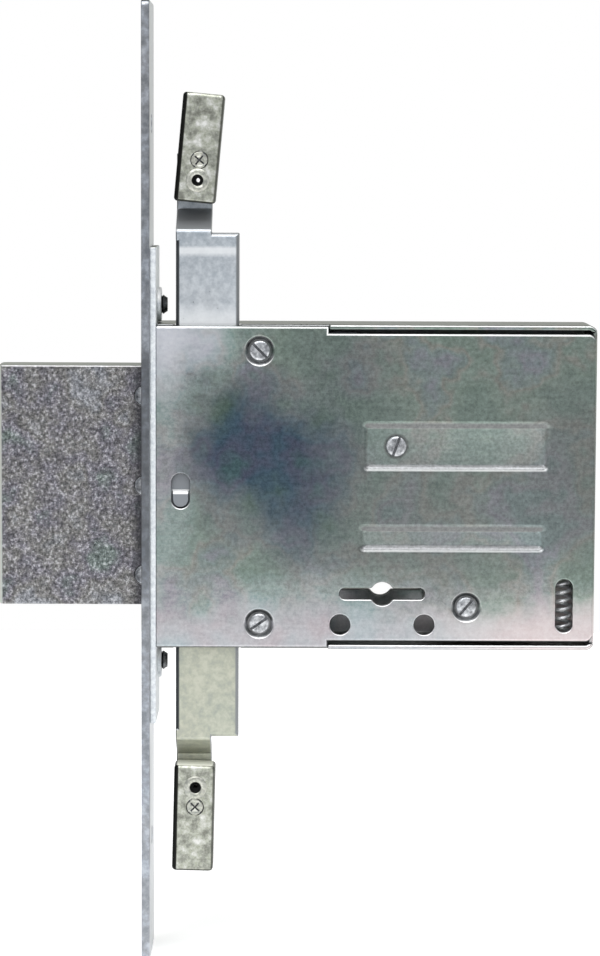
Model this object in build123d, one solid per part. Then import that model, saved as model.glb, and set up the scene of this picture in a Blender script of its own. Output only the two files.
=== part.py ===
from build123d import *
import math
import os

# Multipoint mortise lock, bolt thrown. Millimetres, +Z up.
# Drawn with x = 0 on the forend's front face, and moved so that the origin is the centre of its
# back face, which seats on the door. +X runs into the door, -Y faces the cover side.

# Forend and mounting plate
FOREND_LENGTH = 240.0
FOREND_WIDTH = 24.0
FOREND_THICK = 2.1
FOREND_CORNER = 1.5
DOOR_SCREW_INSET = 30.0
DOOR_SCREW_HOLE_R = 2.4
DOOR_SCREW_SINK_R = 4.3
PLATE_THICK = 1.5
PLATE_END = 14.5
PLATE_SCREW_R = 2.45
PLATE_SCREW_HEAD_R = 4.4
PLATE_SCREW_TIP = 1.8
BOSS_R = 4.3
BOSS_HEIGHT = 1.0

# Case: a folded tray closed by a flat cover
CASE_HEIGHT = 81.1
CASE_DEPTH = 21.5
WALL = 1.2
BACK_SHEET = 1.5
COVER_SHEET = 1.5
CASE_CORNER = 2.2
BEND_OUTER = 2.0
BEND_INNER = 0.8
COVER_STEP_X = 46.5
COVER_EDGE_GAP = 0.8
COVER_INSET = 0.3
COVER_EDGE_ROUND = 0.8
TENON_WIDTH = 6.0

# Key side of the lock
BACKSET = 60.0
KEY_RISE = 14.05
KEY_SLOT_LENGTH = 21.3
KEY_SLOT_WIDTH = 2.8
KEY_ROUND_R = 2.95
FIX_SPACING = 21.0
FIX_DROP = 7.8
FIX_HOLE_R = 2.5
FIX_CLEAR = 1.9

# Windows in the cover: size, and distance of the front one from the forend's face
FRONT_WINDOW_X = 9.7
FRONT_WINDOW_DROP = 0.9
FRONT_WINDOW_WIDTH = 4.5
FRONT_WINDOW_LENGTH = 8.7
TAB_REACH = 0.6
TAB_ROUND = 1.0
REAR_WINDOW_WIDTH = 4.2
REAR_WINDOW_LENGTH = 13.3
REAR_WINDOW_RISE = 9.95

# Pressed ribs in the cover: length, height and where they lie from the keyhole
RIB_LENGTH = 46.3
UPPER_RIB_BACK = 18.1
UPPER_RIB_HEIGHT = 11.8
LOWER_RIB_BACK = 17.3
LOWER_RIB_RISE = 13.9
LOWER_RIB_HEIGHT = 6.3
PRESS_DEPTH = 1.0
PRESS_SLOPE = 1.6
PRESS_GROW = 0.6
RIB_CORNER = 1.2

# Posts between tray and cover, and the screws in them
GUIDE_POST_X = 29.3
GUIDE_POST_R = 3.8
CARRIAGE_POST_BACK = 3.3
CARRIAGE_POST_RISE = 8.9
CARRIAGE_POST_R = 3.0
PIVOT_POST_BACK = 21.0
PIVOT_POST_DROP = 3.3
PIVOT_POST_R = 3.0
POST_TENON_R = 2.2
DIMPLE_R = 3.8
DIMPLE_FLOOR_R = 2.9
COVER_SCREW_HEAD_R = 2.5
COVER_SCREW_HEAD = 0.9
COVER_SCREW_ROUND = 0.25
COVER_SCREW_R = 1.5
COVER_SCREW_LENGTH = 7.0
SCREW_SLOT = 0.8

# Deadbolt and the carriage that drives it
BOLT_THROW = 36.0
BOLT_MARGIN = 10.55
BOLT_FACE_GAP = 0.25
BOLT_INSIDE = 8.0
BOLT_CHAMFER = 1.0
CARRIAGE_THICK = 4.0
TAIL_DEPTH = 6.0
TAIL_MARGIN = 2.5
BOLT_RIVET_R = 2.5
BOLT_RIVET_X = 0.5
BOLT_RIVET_INSET = 5.0
CARRIAGE_RIM = 3.0
CARRIAGE_WEB = 1.7
CARRIAGE_RUN_OUT = 6.2
TALON_COUNT = 4
TALON_REACH = 7.9
TALON_DEPTH = 3.2
TALON_MOUTH = 5.3
TALON_ROOT = 4.0
STUMP_RISE = 22.5
STUMP_R = 1.75

# Vertical slides that throw the rods
SLIDE_THICK = 2.5
SLIDE_X = 8.45
SLIDE_WIDTH = 15.75
SLIDE_OUT = 22.55
NECK_WIDTH = 8.85
JOGGLE_START = 0.65
JOGGLE_DEPTH = 8.5
JOGGLE_RISE = 5.05
JOGGLE_ROUND = 1.2
TONGUE_BELOW = 7.2
TONGUE_ABOVE = 6.7
SLIDE_CHAMFER = 0.8
SLIDE_PIN_R = 2.4
SLIDE_PIN_BEHIND = 4.0
UPPER_PIN_DROP = 7.55
PAD_HALF = 3.8
PAD_END = 4.3
PAD_APART = 0.4
ARM_X = 13.0
ARM_HEIGHT = 9.2
ARM_SLANT = 5.5

# Rod connectors
CONNECTOR_WIDTH = 10.3
CONNECTOR_SHIFT = 0.3
CONNECTOR_DEPTH = 8.5
CONNECTOR_LENGTH = 26.9
CONNECTOR_ROUND = 1.25
CONNECTOR_HEEL = 5.5
UPPER_PIVOT_X = 13.8
LOWER_PIVOT_X = 13.4
UPPER_LEAN = 5.2
LOWER_LEAN = 1.3
LINK_RIVET_R = 2.4
LINK_RIVET_BORE_R = 1.4
LINK_RIVET_LIP_R = 2.9
LINK_RIVET_LIP = 0.3
CLAMP_SCREW_OFFSET = 5.0
CLAMP_SCREW_R = 2.1
CROSS_LENGTH = 2.4
ROD_SOCKET_R = 2.5
ROD_SOCKET_DEPTH = 13.0

# Lever pack
LEVER_THICK = 1.1
LEVER_SPACE = 0.25
CATCH_THICK = 2.0
LEVER_COUNT = 5
LEVER_LIFT = 3.0
LEVER_RIM = 2.0
LEVER_TOP = 5.5
LEVER_BOSS_R = 7.0
GATE_POCKET_R = 2.3
SPACER_R = 5.0
CATCH_TAIL_RISE = 8.8
CATCH_TAIL_HEIGHT = 4.0
COIL_FROM_END = 7.6
COIL_R = 2.5
COIL_WIRE_R = 0.45
COIL_TURNS = 8
LEVER_TO_COIL = 4.9
STRIP_THICK = 0.4
STRIP_FOOT = 3.0
ANCHOR_FROM_END = 8.0
ANCHOR_RISE = 24.5
ANCHOR_SIZE = 5.0

# Clearances
RIVET_FIT = 0.03
RUNNING_FIT = 0.06
SLIDE_GAP = 0.3
FACE_GAP = 0.1
SEAT_GAP = 0.05
BOSS_GAP = 0.15

# Depths, counted from the middle of the case's thickness
BACK_Y = CASE_DEPTH / 2
FRONT_Y = -CASE_DEPTH / 2
COVER_BACK_Y = FRONT_Y + COVER_SHEET
FLOOR_Y = BACK_Y - BACK_SHEET
PRESS_BACK_Y = COVER_BACK_Y + PRESS_DEPTH
SLIDE_Y = COVER_BACK_Y + SLIDE_GAP
SLIDE_BACK_Y = SLIDE_Y + SLIDE_THICK
BOLT_THICK = -2 * (SLIDE_BACK_Y + BOLT_FACE_GAP)
TONGUE_Y = SLIDE_Y + JOGGLE_DEPTH
CONNECTOR_BACK_Y = TONGUE_Y - FACE_GAP
CONNECTOR_Y = CONNECTOR_BACK_Y - CONNECTOR_DEPTH
LEVER_PITCH = LEVER_THICK + LEVER_SPACE
FIRST_LEVER_Y = -CARRIAGE_THICK / 2 - 2 * SLIDE_GAP - LEVER_THICK
CATCH_Y = FIRST_LEVER_Y - SLIDE_GAP - CATCH_THICK

# Heights
INNER_TOP_Z = CASE_HEIGHT / 2 - WALL
BOLT_HEIGHT = CASE_HEIGHT - 2 * BOLT_MARGIN
TAIL_HEIGHT = BOLT_HEIGHT - 2 * TAIL_MARGIN
BOLT_RIVET_PITCH = TAIL_HEIGHT / 2 - BOLT_RIVET_INSET
GUIDE_POST_Z = BOLT_HEIGHT / 2 + SLIDE_GAP + GUIDE_POST_R
PLATE_SCREW_SPACING = CASE_HEIGHT + 2 * (BOSS_R + BOSS_GAP)
PLATE_LENGTH = PLATE_SCREW_SPACING + 2 * PLATE_END
DOOR_SCREW_SPACING = FOREND_LENGTH - 2 * DOOR_SCREW_INSET
KEY_Z = KEY_RISE - CASE_HEIGHT / 2
FIX_Z = KEY_Z - FIX_DROP
PIVOT_POST_Z = KEY_Z - PIVOT_POST_DROP
TALON_TIP_Z = KEY_Z + TALON_REACH
STUMP_Z = KEY_Z + STUMP_RISE
LEVER_TOP_Z = STUMP_Z + LEVER_TOP
CARRIAGE_POST_Z = LEVER_TOP_Z + CARRIAGE_POST_RISE
CARRIAGE_TOP = CARRIAGE_POST_Z + CARRIAGE_POST_R + 2 * CARRIAGE_RIM
UPPER_PIN_Z = CASE_HEIGHT / 2 - UPPER_PIN_DROP
LOWER_PIN_Z = TALON_TIP_Z + TALON_DEPTH + CARRIAGE_WEB + SLIDE_GAP + SLIDE_PIN_R
ROD_THROW = (UPPER_PIN_Z - LOWER_PIN_Z - PAD_APART) / 2 - PAD_HALF
CATCH_TAIL_Z = PIVOT_POST_Z + CATCH_TAIL_RISE
ANCHOR_Z = LEVER_TOP_Z + ANCHOR_RISE
REAR_WINDOW_Z = REAR_WINDOW_RISE - INNER_TOP_Z
SLIDE_SHOULDER_Z = CASE_HEIGHT / 2 + SLIDE_OUT
JOGGLE_Z = SLIDE_SHOULDER_Z + JOGGLE_START
CONNECTOR_PIVOT_Z = JOGGLE_Z + JOGGLE_RISE + TONGUE_BELOW
TONGUE_END_Z = CONNECTOR_PIVOT_Z + TONGUE_ABOVE

# Places along the bolt's travel
CASE_X = FOREND_THICK + PLATE_THICK
SLIDE_PIN_X = BOLT_INSIDE + BOLT_THROW + SLIDE_PIN_BEHIND
CARRIAGE_POST_X = BACKSET + CARRIAGE_POST_BACK
PIVOT_POST_X = BACKSET + PIVOT_POST_BACK
CARRIAGE_END = CARRIAGE_POST_X + CARRIAGE_POST_R + SLIDE_GAP + CARRIAGE_RIM
CASE_END_X = CARRIAGE_END + BOLT_THROW + CARRIAGE_RUN_OUT + WALL
COIL_X = CASE_END_X - COIL_FROM_END
ANCHOR_X = CASE_END_X - ANCHOR_FROM_END
LEVER_END_X = COIL_X - COIL_R - LEVER_TO_COIL
LEVER_LEG_X = BOLT_INSIDE + BOLT_THROW + LEVER_RIM
LEVER_LEFT_X = SLIDE_PIN_X + PAD_END + SLIDE_GAP
GATE_SHIFT = (STUMP_Z - PIVOT_POST_Z) * math.radians(LEVER_LIFT)
STUMP_X = LEVER_LEFT_X + LEVER_RIM + GATE_SHIFT + SLIDE_GAP + STUMP_R
SLOPE = ROD_THROW / BOLT_THROW
KEY_SWEEP_R = KEY_SLOT_LENGTH / 2

# Pressed ribs: centre x, centre z, height
UPPER_RIB = (BACKSET + UPPER_RIB_BACK, CARRIAGE_POST_Z, UPPER_RIB_HEIGHT)
LOWER_RIB = (BACKSET + LOWER_RIB_BACK, KEY_Z + LOWER_RIB_RISE, LOWER_RIB_HEIGHT)


def facing(y):
    """A drawing plane across the lock: local x is +X, local y is +Z, normal towards the cover."""
    return Plane(origin=(0, y, 0), x_dir=(1, 0, 0), z_dir=(0, -1, 0))


def slab(sketch, y_front, y_back):
    """A plate of the drawn outline between two depths."""
    return extrude(facing(y_back) * sketch, y_back - y_front)


def disc(x, z, radius, y_front, y_back):
    return slab(Pos(x, z) * Circle(radius), y_front, y_back)


def block(x0, x1, y0, y1, z0, z1):
    return Pos((x0 + x1) / 2, (y0 + y1) / 2, (z0 + z1) / 2) * Box(x1 - x0, y1 - y0, z1 - z0)


def outline(points):
    return make_face(Polyline(*points, close=True))


def along_x(sketch, x0, x1):
    """A plate across the door edge: the sketch's local x is +Y and local y is +Z."""
    return extrude(Plane.YZ.offset(x0) * sketch, x1 - x0)


def bolt_opening():
    return Rectangle(BOLT_THICK + 2 * SLIDE_GAP, BOLT_HEIGHT + 2 * SLIDE_GAP)


def forend():
    body = along_x(RectangleRounded(FOREND_WIDTH, FOREND_LENGTH, FOREND_CORNER), 0, FOREND_THICK)
    body -= along_x(bolt_opening(), 0, FOREND_THICK)
    sides = [(DOOR_SCREW_SPACING / 2, DOOR_SCREW_HOLE_R, DOOR_SCREW_SINK_R)]
    sides.append((PLATE_SCREW_SPACING / 2, PLATE_SCREW_R + SEAT_GAP, PLATE_SCREW_HEAD_R + SEAT_GAP))
    for z, hole_r, sink_r in sides:
        for side in (-1, 1):
            place = Pos(0, side * z)
            body -= along_x(place * Circle(hole_r), 0, FOREND_THICK)
            body -= extrude(Plane.YZ * place * Circle(sink_r), sink_r - hole_r, taper=45)
    return body


def mounting_plate():
    x0 = FOREND_THICK
    x1 = CASE_X
    body = along_x(Rectangle(CASE_DEPTH, PLATE_LENGTH), x0, x1)
    for side in (-1, 1):
        centre = Pos(0, side * PLATE_SCREW_SPACING / 2)
        body += along_x(centre * Circle(BOSS_R), x1, x1 + BOSS_HEIGHT)
        body -= along_x(centre * Circle(PLATE_SCREW_R + SEAT_GAP), x0, x1 + BOSS_HEIGHT)
        tenon = Rectangle(TENON_WIDTH + 2 * SEAT_GAP, WALL + 2 * SEAT_GAP)
        body -= along_x(Pos(0, side * (CASE_HEIGHT - WALL) / 2) * tenon, x0, x1)
    body -= along_x(bolt_opening(), x0, x1)
    x, z, width, height = FRONT_WINDOW_X, -FRONT_WINDOW_DROP, FRONT_WINDOW_WIDTH, FRONT_WINDOW_LENGTH
    tab_end = x + width / 2 + TAB_REACH
    body += block(x1, tab_end, COVER_BACK_Y, COVER_BACK_Y + WALL, z - height / 2, z + height / 2)
    nub = Pos(x, z) * SlotOverall(height - 2 * SLIDE_GAP, width - 2 * SLIDE_GAP, rotation=90)
    nub &= Pos(x, z - height / 4) * Rectangle(width, height / 2)
    nub = slab(nub, FRONT_Y + SLIDE_GAP, COVER_BACK_Y)
    return body + fillet(nub.faces().sort_by(Axis.Y)[0].edges().sort_by(Axis.Z)[-1], TAB_ROUND)


def forend_screw(z):
    tip = CASE_X + BOSS_HEIGHT + PLATE_SCREW_TIP
    place = Pos(0, z)
    sink = PLATE_SCREW_HEAD_R - PLATE_SCREW_R
    body = along_x(place * Circle(PLATE_SCREW_R), 0, tip)
    body += extrude(Plane.YZ * place * Circle(PLATE_SCREW_HEAD_R), sink, taper=45)
    body = chamfer(body.edges().sort_by(Axis.X)[-1], SCREW_SLOT / 2)
    cross = Rectangle(PLATE_SCREW_HEAD_R, SCREW_SLOT) + Rectangle(SCREW_SLOT, PLATE_SCREW_HEAD_R)
    return body - along_x(place * cross, 0, sink / 2)


def tray_outline(height, end_x, corner):
    sketch = Pos((CASE_X + end_x) / 2, 0) * Rectangle(end_x - CASE_X, height)
    return fillet(sketch.vertices().sort_by(Axis.X)[-2:], corner)


def keyhole():
    slot = SlotOverall(KEY_SLOT_LENGTH, KEY_SLOT_WIDTH)
    return Pos(BACKSET, KEY_Z) * (slot + Circle(KEY_ROUND_R))


def fixing_holes():
    return Pos(BACKSET, FIX_Z) * GridLocations(FIX_SPACING, 1, 2, 1) * Circle(FIX_HOLE_R)


def post_places():
    return [
        (GUIDE_POST_X, GUIDE_POST_Z),
        (GUIDE_POST_X, -GUIDE_POST_Z),
        (CARRIAGE_POST_X, CARRIAGE_POST_Z),
        (PIVOT_POST_X, PIVOT_POST_Z),
    ]


def case_tray():
    body = slab(tray_outline(CASE_HEIGHT, CASE_END_X, CASE_CORNER), FRONT_Y, BACK_Y)
    rim = body.faces().sort_by(Axis.Y)[-1].edges().sort_by(Axis.X)[1:]
    body = fillet(rim, BEND_OUTER)
    hollow = slab(tray_outline(2 * INNER_TOP_Z, CASE_END_X - WALL, CASE_CORNER - WALL), FRONT_Y, FLOOR_Y)
    rim = hollow.faces().sort_by(Axis.Y)[-1].edges().sort_by(Axis.X)[1:]
    body -= fillet(rim, BEND_INNER)
    body -= block(CASE_X, COVER_STEP_X, FRONT_Y, COVER_BACK_Y, -CASE_HEIGHT / 2, CASE_HEIGHT / 2)
    lap = INNER_TOP_Z - COVER_EDGE_GAP / 2
    body -= block(CASE_END_X - CASE_CORNER, CASE_END_X, FRONT_Y, COVER_BACK_Y, -lap, lap)
    for side in (-1, 1):
        z0, z1 = sorted((side * (INNER_TOP_Z - FACE_GAP), side * CASE_HEIGHT / 2))
        body -= block(
            SLIDE_X - SLIDE_GAP, SLIDE_X + SLIDE_WIDTH + SLIDE_GAP,
            COVER_BACK_Y, SLIDE_BACK_Y + SLIDE_GAP, z0, z1,
        )
        tenon_z = side * (CASE_HEIGHT - WALL) / 2
        body += block(
            FOREND_THICK + SEAT_GAP, CASE_X, -TENON_WIDTH / 2, TENON_WIDTH / 2,
            tenon_z - WALL / 2, tenon_z + WALL / 2,
        )
    for x, z in post_places() + [(ANCHOR_X, ANCHOR_Z)]:
        body -= disc(x, z, POST_TENON_R + RIVET_FIT, FLOOR_Y, BACK_Y)
    return body - slab(keyhole(), FLOOR_Y, BACK_Y)


def pressing(make, y_flat):
    """A tapered pressing that starts on one face of the sheet and ends one press depth behind it."""
    return loft([facing(y_flat) * make(0), facing(y_flat + PRESS_DEPTH) * make(PRESS_SLOPE)])


def rib(spec, grow):
    x, z, height = spec

    def make(inset):
        size = 2 * (grow - inset)
        return Pos(x, z) * RectangleRounded(RIB_LENGTH + size, height + size, RIB_CORNER - inset / 2)

    return make


def dimple(x, z, grow):
    def make(inset):
        share = inset / PRESS_SLOPE
        return Pos(x, z) * Circle(DIMPLE_R + grow - share * (DIMPLE_R - DIMPLE_FLOOR_R))

    return make


def cover_screw_places():
    """Place and slot angle of each cover screw."""
    angles = (-45.0, 35.0, 70.0, 50.0)
    return [(x, z, angle) for (x, z), angle in zip(post_places(), angles)]


def case_cover():
    step = INNER_TOP_Z - COVER_EDGE_GAP
    high = CASE_HEIGHT / 2 - COVER_INSET
    end_x = CASE_END_X - COVER_INSET
    start_x = CASE_X + SEAT_GAP
    corners = [(start_x, -high), (COVER_STEP_X, -high), (COVER_STEP_X, -step), (end_x, -step)]
    corners += [(x, -z) for x, z in reversed(corners)]
    sheet = outline(corners)
    sheet = fillet(sheet.vertices().sort_by(Axis.X)[-2:], CASE_CORNER - COVER_INSET)
    body = slab(sheet, FRONT_Y, COVER_BACK_Y)
    body = fillet(body.faces().sort_by(Axis.Y)[0].edges().sort_by(Axis.X)[1:], COVER_EDGE_ROUND)
    for spec in (UPPER_RIB, LOWER_RIB):
        body += pressing(rib(spec, PRESS_GROW), COVER_BACK_Y)
    raised = [place for place in post_places() if place[0] != CARRIAGE_POST_X]
    for x, z in raised:
        body += pressing(dimple(x, z, PRESS_GROW), COVER_BACK_Y)
    for spec in (UPPER_RIB, LOWER_RIB):
        body -= pressing(rib(spec, 0), FRONT_Y)
    for x, z in raised:
        body -= pressing(dimple(x, z, 0), FRONT_Y)
    for x, z in post_places():
        body -= disc(x, z, COVER_SCREW_R + SEAT_GAP, FRONT_Y, PRESS_BACK_Y)
    windows = Pos(FRONT_WINDOW_X, -FRONT_WINDOW_DROP)
    windows *= SlotOverall(FRONT_WINDOW_LENGTH, FRONT_WINDOW_WIDTH, rotation=90)
    windows += Pos(COIL_X, REAR_WINDOW_Z) * SlotOverall(REAR_WINDOW_LENGTH, REAR_WINDOW_WIDTH, rotation=90)
    return body - slab(windows + keyhole() + fixing_holes(), FRONT_Y, COVER_BACK_Y)


def post(x, z, radius):
    body = disc(x, z, radius, PRESS_BACK_Y, FLOOR_Y)
    body += disc(x, z, POST_TENON_R, FLOOR_Y, BACK_Y)
    bore = PRESS_BACK_Y + COVER_SCREW_LENGTH
    return body - disc(x, z, COVER_SCREW_R + SEAT_GAP, PRESS_BACK_Y, bore)


def cover_screw(x, z, angle):
    seat = FRONT_Y + PRESS_DEPTH
    top = seat - COVER_SCREW_HEAD
    body = disc(x, z, COVER_SCREW_HEAD_R, top, seat)
    body = fillet(body.edges().sort_by(Axis.Y)[0], COVER_SCREW_ROUND)
    body += disc(x, z, COVER_SCREW_R, seat, seat + COVER_SCREW_LENGTH)
    slot = Pos(x, z) * Rectangle(2 * COVER_SCREW_HEAD_R + SCREW_SLOT, SCREW_SLOT, rotation=angle)
    return body - slab(slot, top, top + COVER_SCREW_HEAD / 2)


def bolt_rivet_zs():
    return [turn * BOLT_RIVET_PITCH for turn in (-1, 0, 1)]


def deadbolt_block():
    half = BOLT_THICK / 2
    body = block(-BOLT_THROW, BOLT_INSIDE, -half, half, -BOLT_HEIGHT / 2, BOLT_HEIGHT / 2)
    body = chamfer(body.faces().sort_by(Axis.X)[0].edges().filter_by(Axis.Z), BOLT_CHAMFER)
    gap = CARRIAGE_THICK / 2 + FACE_GAP
    reach = TAIL_HEIGHT / 2 + FACE_GAP
    body -= block(-TAIL_DEPTH - FACE_GAP, BOLT_INSIDE, -gap, gap, -reach, reach)
    for z in bolt_rivet_zs():
        body -= disc(BOLT_RIVET_X, z, BOLT_RIVET_R + RIVET_FIT, -half, half)
    return body


def bolt_rivets():
    half = BOLT_THICK / 2
    return [disc(BOLT_RIVET_X, z, BOLT_RIVET_R, -half, half) for z in bolt_rivet_zs()]


def drive_slot(pin_z):
    """Inclined slot that turns the bolt's travel into the rod's: it starts at the pin's rest place."""
    direction = math.copysign(1, pin_z)
    centre = (SLIDE_PIN_X - BOLT_THROW / 2, pin_z - direction * ROD_THROW / 2)
    run = math.hypot(BOLT_THROW, ROD_THROW)
    width = 2 * (SLIDE_PIN_R + SLIDE_GAP)
    angle = direction * math.degrees(math.atan(SLOPE))
    return Pos(*centre) * SlotCenterToCenter(run, width, rotation=angle)


def talons():
    """Notches in the carriage's lower edge, one for each half turn of the key."""
    pitch = BOLT_THROW / TALON_COUNT
    notches = []
    for turn in range(TALON_COUNT):
        x = BACKSET - pitch * (turn + 0.5)
        mouth = TALON_MOUTH / 2
        root = TALON_ROOT / 2
        top = TALON_TIP_Z + TALON_DEPTH
        notches.append(
            outline([(x - mouth, TALON_TIP_Z), (x + mouth, TALON_TIP_Z), (x + root, top), (x - root, top)])
        )
    return notches


def bolt_carriage():
    tail = TAIL_HEIGHT / 2
    pad_top = UPPER_PIN_Z + SLIDE_PIN_R + CARRIAGE_RIM
    post_edge = GUIDE_POST_X + GUIDE_POST_R
    tail_x = SLIDE_PIN_X - BOLT_THROW
    plate = outline([
        (-TAIL_DEPTH, -tail),
        (tail_x, -tail),
        (tail_x, TALON_TIP_Z),
        (CARRIAGE_END - PAD_HALF, TALON_TIP_Z),
        (CARRIAGE_END, TALON_TIP_Z + PAD_HALF),
        (CARRIAGE_END, CARRIAGE_TOP),
        (SLIDE_PIN_X + SLIDE_PIN_R + 3 * CARRIAGE_RIM, CARRIAGE_TOP),
        (SLIDE_PIN_X + SLIDE_PIN_R + CARRIAGE_RIM, UPPER_PIN_Z - PAD_HALF),
        (SLIDE_PIN_X + SLIDE_PIN_R + CARRIAGE_RIM, pad_top),
        (SLIDE_PIN_X - PAD_END, pad_top),
        (post_edge, BOLT_HEIGHT / 2),
        (post_edge - 2 * PAD_HALF, tail),
        (-TAIL_DEPTH, tail),
    ])
    plate -= drive_slot(UPPER_PIN_Z) + drive_slot(LOWER_PIN_Z)
    guide = Pos(CARRIAGE_POST_X - BOLT_THROW / 2, CARRIAGE_POST_Z)
    plate -= guide * SlotCenterToCenter(BOLT_THROW, 2 * (CARRIAGE_POST_R + SLIDE_GAP))
    for notch in talons():
        plate -= notch
    plate -= Pos(STUMP_X, STUMP_Z) * Circle(STUMP_R + RIVET_FIT)
    for z in bolt_rivet_zs():
        plate -= Pos(BOLT_RIVET_X, z) * Circle(BOLT_RIVET_R + RIVET_FIT)
    return slab(plate, -CARRIAGE_THICK / 2, CARRIAGE_THICK / 2)


def bolt_stump():
    return disc(STUMP_X, STUMP_Z, STUMP_R, CATCH_Y, lever_depths()[-1] + LEVER_THICK)


def pivot_x(side):
    return UPPER_PIVOT_X if side > 0 else LOWER_PIVOT_X


def slide_neck(side):
    """Joggled neck and tongue, drawn from the side and extruded across the neck's width."""
    fold = SLIDE_THICK * math.tan(math.atan(JOGGLE_DEPTH / JOGGLE_RISE) / 2)
    low = JOGGLE_Z
    high = JOGGLE_Z + JOGGLE_RISE
    points = [
        (SLIDE_Y, low - SLIDE_THICK), (SLIDE_Y, low), (TONGUE_Y, high), (TONGUE_Y, TONGUE_END_Z),
        (TONGUE_Y + SLIDE_THICK, TONGUE_END_Z), (TONGUE_Y + SLIDE_THICK, high - fold),
        (SLIDE_BACK_Y, low - fold), (SLIDE_BACK_Y, low - SLIDE_THICK),
    ]
    face = outline([(y, side * z) for y, z in points])
    bends = face.vertices().sort_by(lambda v: min(
        math.hypot(v.X - y, v.Y - side * z) for y, z in (points[1], points[5])))
    return along_x(fillet(bends[:2], JOGGLE_ROUND), SLIDE_X, SLIDE_X + NECK_WIDTH)


def slide(side, pin_z, arm):
    right = SLIDE_X + SLIDE_WIDTH
    shoulder = side * SLIDE_SHOULDER_Z
    sketch = outline(arm)
    z0, z1 = sorted((arm[0][1] + side * ARM_HEIGHT * 0.75, shoulder))
    sketch += Pos((SLIDE_X + right) / 2, (z0 + z1) / 2) * Rectangle(SLIDE_WIDTH, z1 - z0)
    body = slab(sketch, SLIDE_Y, SLIDE_BACK_Y)
    front = body.faces().sort_by(Axis.Y)[0]
    ends = front.edges().filter_by(Axis.X).sort_by(Axis.Z)
    rims = front.edges().filter_by(Axis.Z).sort_by(Edge.length)
    body = chamfer([ends[-1] if side > 0 else ends[0], rims[-1], rims[-2]], SLIDE_CHAMFER)
    body += slide_neck(side)
    body -= disc(SLIDE_PIN_X, pin_z, SLIDE_PIN_R + RIVET_FIT, SLIDE_Y, SLIDE_BACK_Y)
    return body - disc(
        pivot_x(side), side * CONNECTOR_PIVOT_Z, LINK_RIVET_R + RIVET_FIT,
        TONGUE_Y, TONGUE_Y + SLIDE_THICK,
    )


def upper_slide():
    right = SLIDE_X + SLIDE_WIDTH
    pad_low = UPPER_PIN_Z - PAD_HALF
    pad_high = UPPER_PIN_Z + PAD_HALF
    arm_low = pad_low - ARM_HEIGHT
    arm = [
        (ARM_X, arm_low),
        (SLIDE_PIN_X - PAD_END - ARM_SLANT, arm_low),
        (SLIDE_PIN_X - PAD_END, pad_low),
        (SLIDE_PIN_X + PAD_END, pad_low),
        (SLIDE_PIN_X + PAD_END, pad_high),
        (SLIDE_PIN_X - PAD_END - ARM_SLANT / 2, pad_high),
        (SLIDE_PIN_X - PAD_END - 3 * ARM_SLANT / 2, pad_low),
        (right, pad_low),
        (ARM_X, pad_low),
    ]
    return slide(1, UPPER_PIN_Z, arm)


def lower_slide():
    right = SLIDE_X + SLIDE_WIDTH
    pad_low = LOWER_PIN_Z - PAD_HALF
    pad_high = LOWER_PIN_Z + PAD_HALF
    arm_high = pad_high - ARM_HEIGHT
    arm_low = arm_high - ARM_HEIGHT
    slant_x = SLIDE_PIN_X - PAD_END + PAD_APART
    arm = [
        (ARM_X, arm_high),
        (slant_x - ARM_SLANT, arm_high),
        (slant_x, pad_high),
        (SLIDE_PIN_X + PAD_END, pad_high),
        (SLIDE_PIN_X + PAD_END, pad_low),
        (slant_x + PAD_HALF, pad_low),
        (slant_x - ARM_SLANT / 2, arm_low),
        (right, arm_low),
        (ARM_X, arm_low),
    ]
    return slide(-1, LOWER_PIN_Z, arm)


def slide_pin(z):
    return disc(SLIDE_PIN_X, z, SLIDE_PIN_R, SLIDE_Y, CARRIAGE_THICK / 2)


def connector_place(side):
    """Frame of a connector: its pivot, with local +Z out along the rod."""
    turn = UPPER_LEAN if side > 0 else 180 + LOWER_LEAN
    return Pos(pivot_x(side), 0, side * CONNECTOR_PIVOT_Z) * Rot(0, turn, 0)


def connector(side):
    half = CONNECTOR_WIDTH / 2
    shift = -side * CONNECTOR_SHIFT
    top = CONNECTOR_LENGTH - CONNECTOR_HEEL
    y0, y1 = CONNECTOR_Y, CONNECTOR_BACK_Y
    body = block(shift - half, shift + half, y0, y1, -CONNECTOR_HEEL, top)
    body = fillet(body.edges().filter_by(Axis.Z), CONNECTOR_ROUND)
    body -= disc(0, 0, LINK_RIVET_R + RUNNING_FIT, y0, y1)
    body -= disc(0, CLAMP_SCREW_OFFSET, CLAMP_SCREW_R + SEAT_GAP, y0, y1)
    socket = Cylinder(ROD_SOCKET_R, ROD_SOCKET_DEPTH, align=(Align.CENTER, Align.CENTER, Align.MAX))
    return connector_place(side) * (body - Pos(0, (y0 + y1) / 2, top) * socket)


def connector_rivet(side):
    z = side * CONNECTOR_PIVOT_Z
    x = pivot_x(side)
    back = TONGUE_Y + SLIDE_THICK
    body = disc(x, z, LINK_RIVET_R, CONNECTOR_Y - SEAT_GAP - LINK_RIVET_LIP, back + LINK_RIVET_LIP)
    body += disc(x, z, LINK_RIVET_LIP_R, CONNECTOR_Y - SEAT_GAP - LINK_RIVET_LIP, CONNECTOR_Y - SEAT_GAP)
    body += disc(x, z, LINK_RIVET_LIP_R, back, back + LINK_RIVET_LIP)
    return body - disc(x, z, LINK_RIVET_BORE_R, CONNECTOR_Y - 1, back + 1)


def clamp_screw(side):
    y0 = CONNECTOR_Y + SEAT_GAP
    body = disc(0, CLAMP_SCREW_OFFSET, CLAMP_SCREW_R, y0, CONNECTOR_BACK_Y)
    cross = Rectangle(CROSS_LENGTH, SCREW_SLOT / 2) + Rectangle(SCREW_SLOT / 2, CROSS_LENGTH)
    return connector_place(side) * (body - slab(Pos(0, CLAMP_SCREW_OFFSET) * cross, y0, y0 + SCREW_SLOT))


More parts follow.
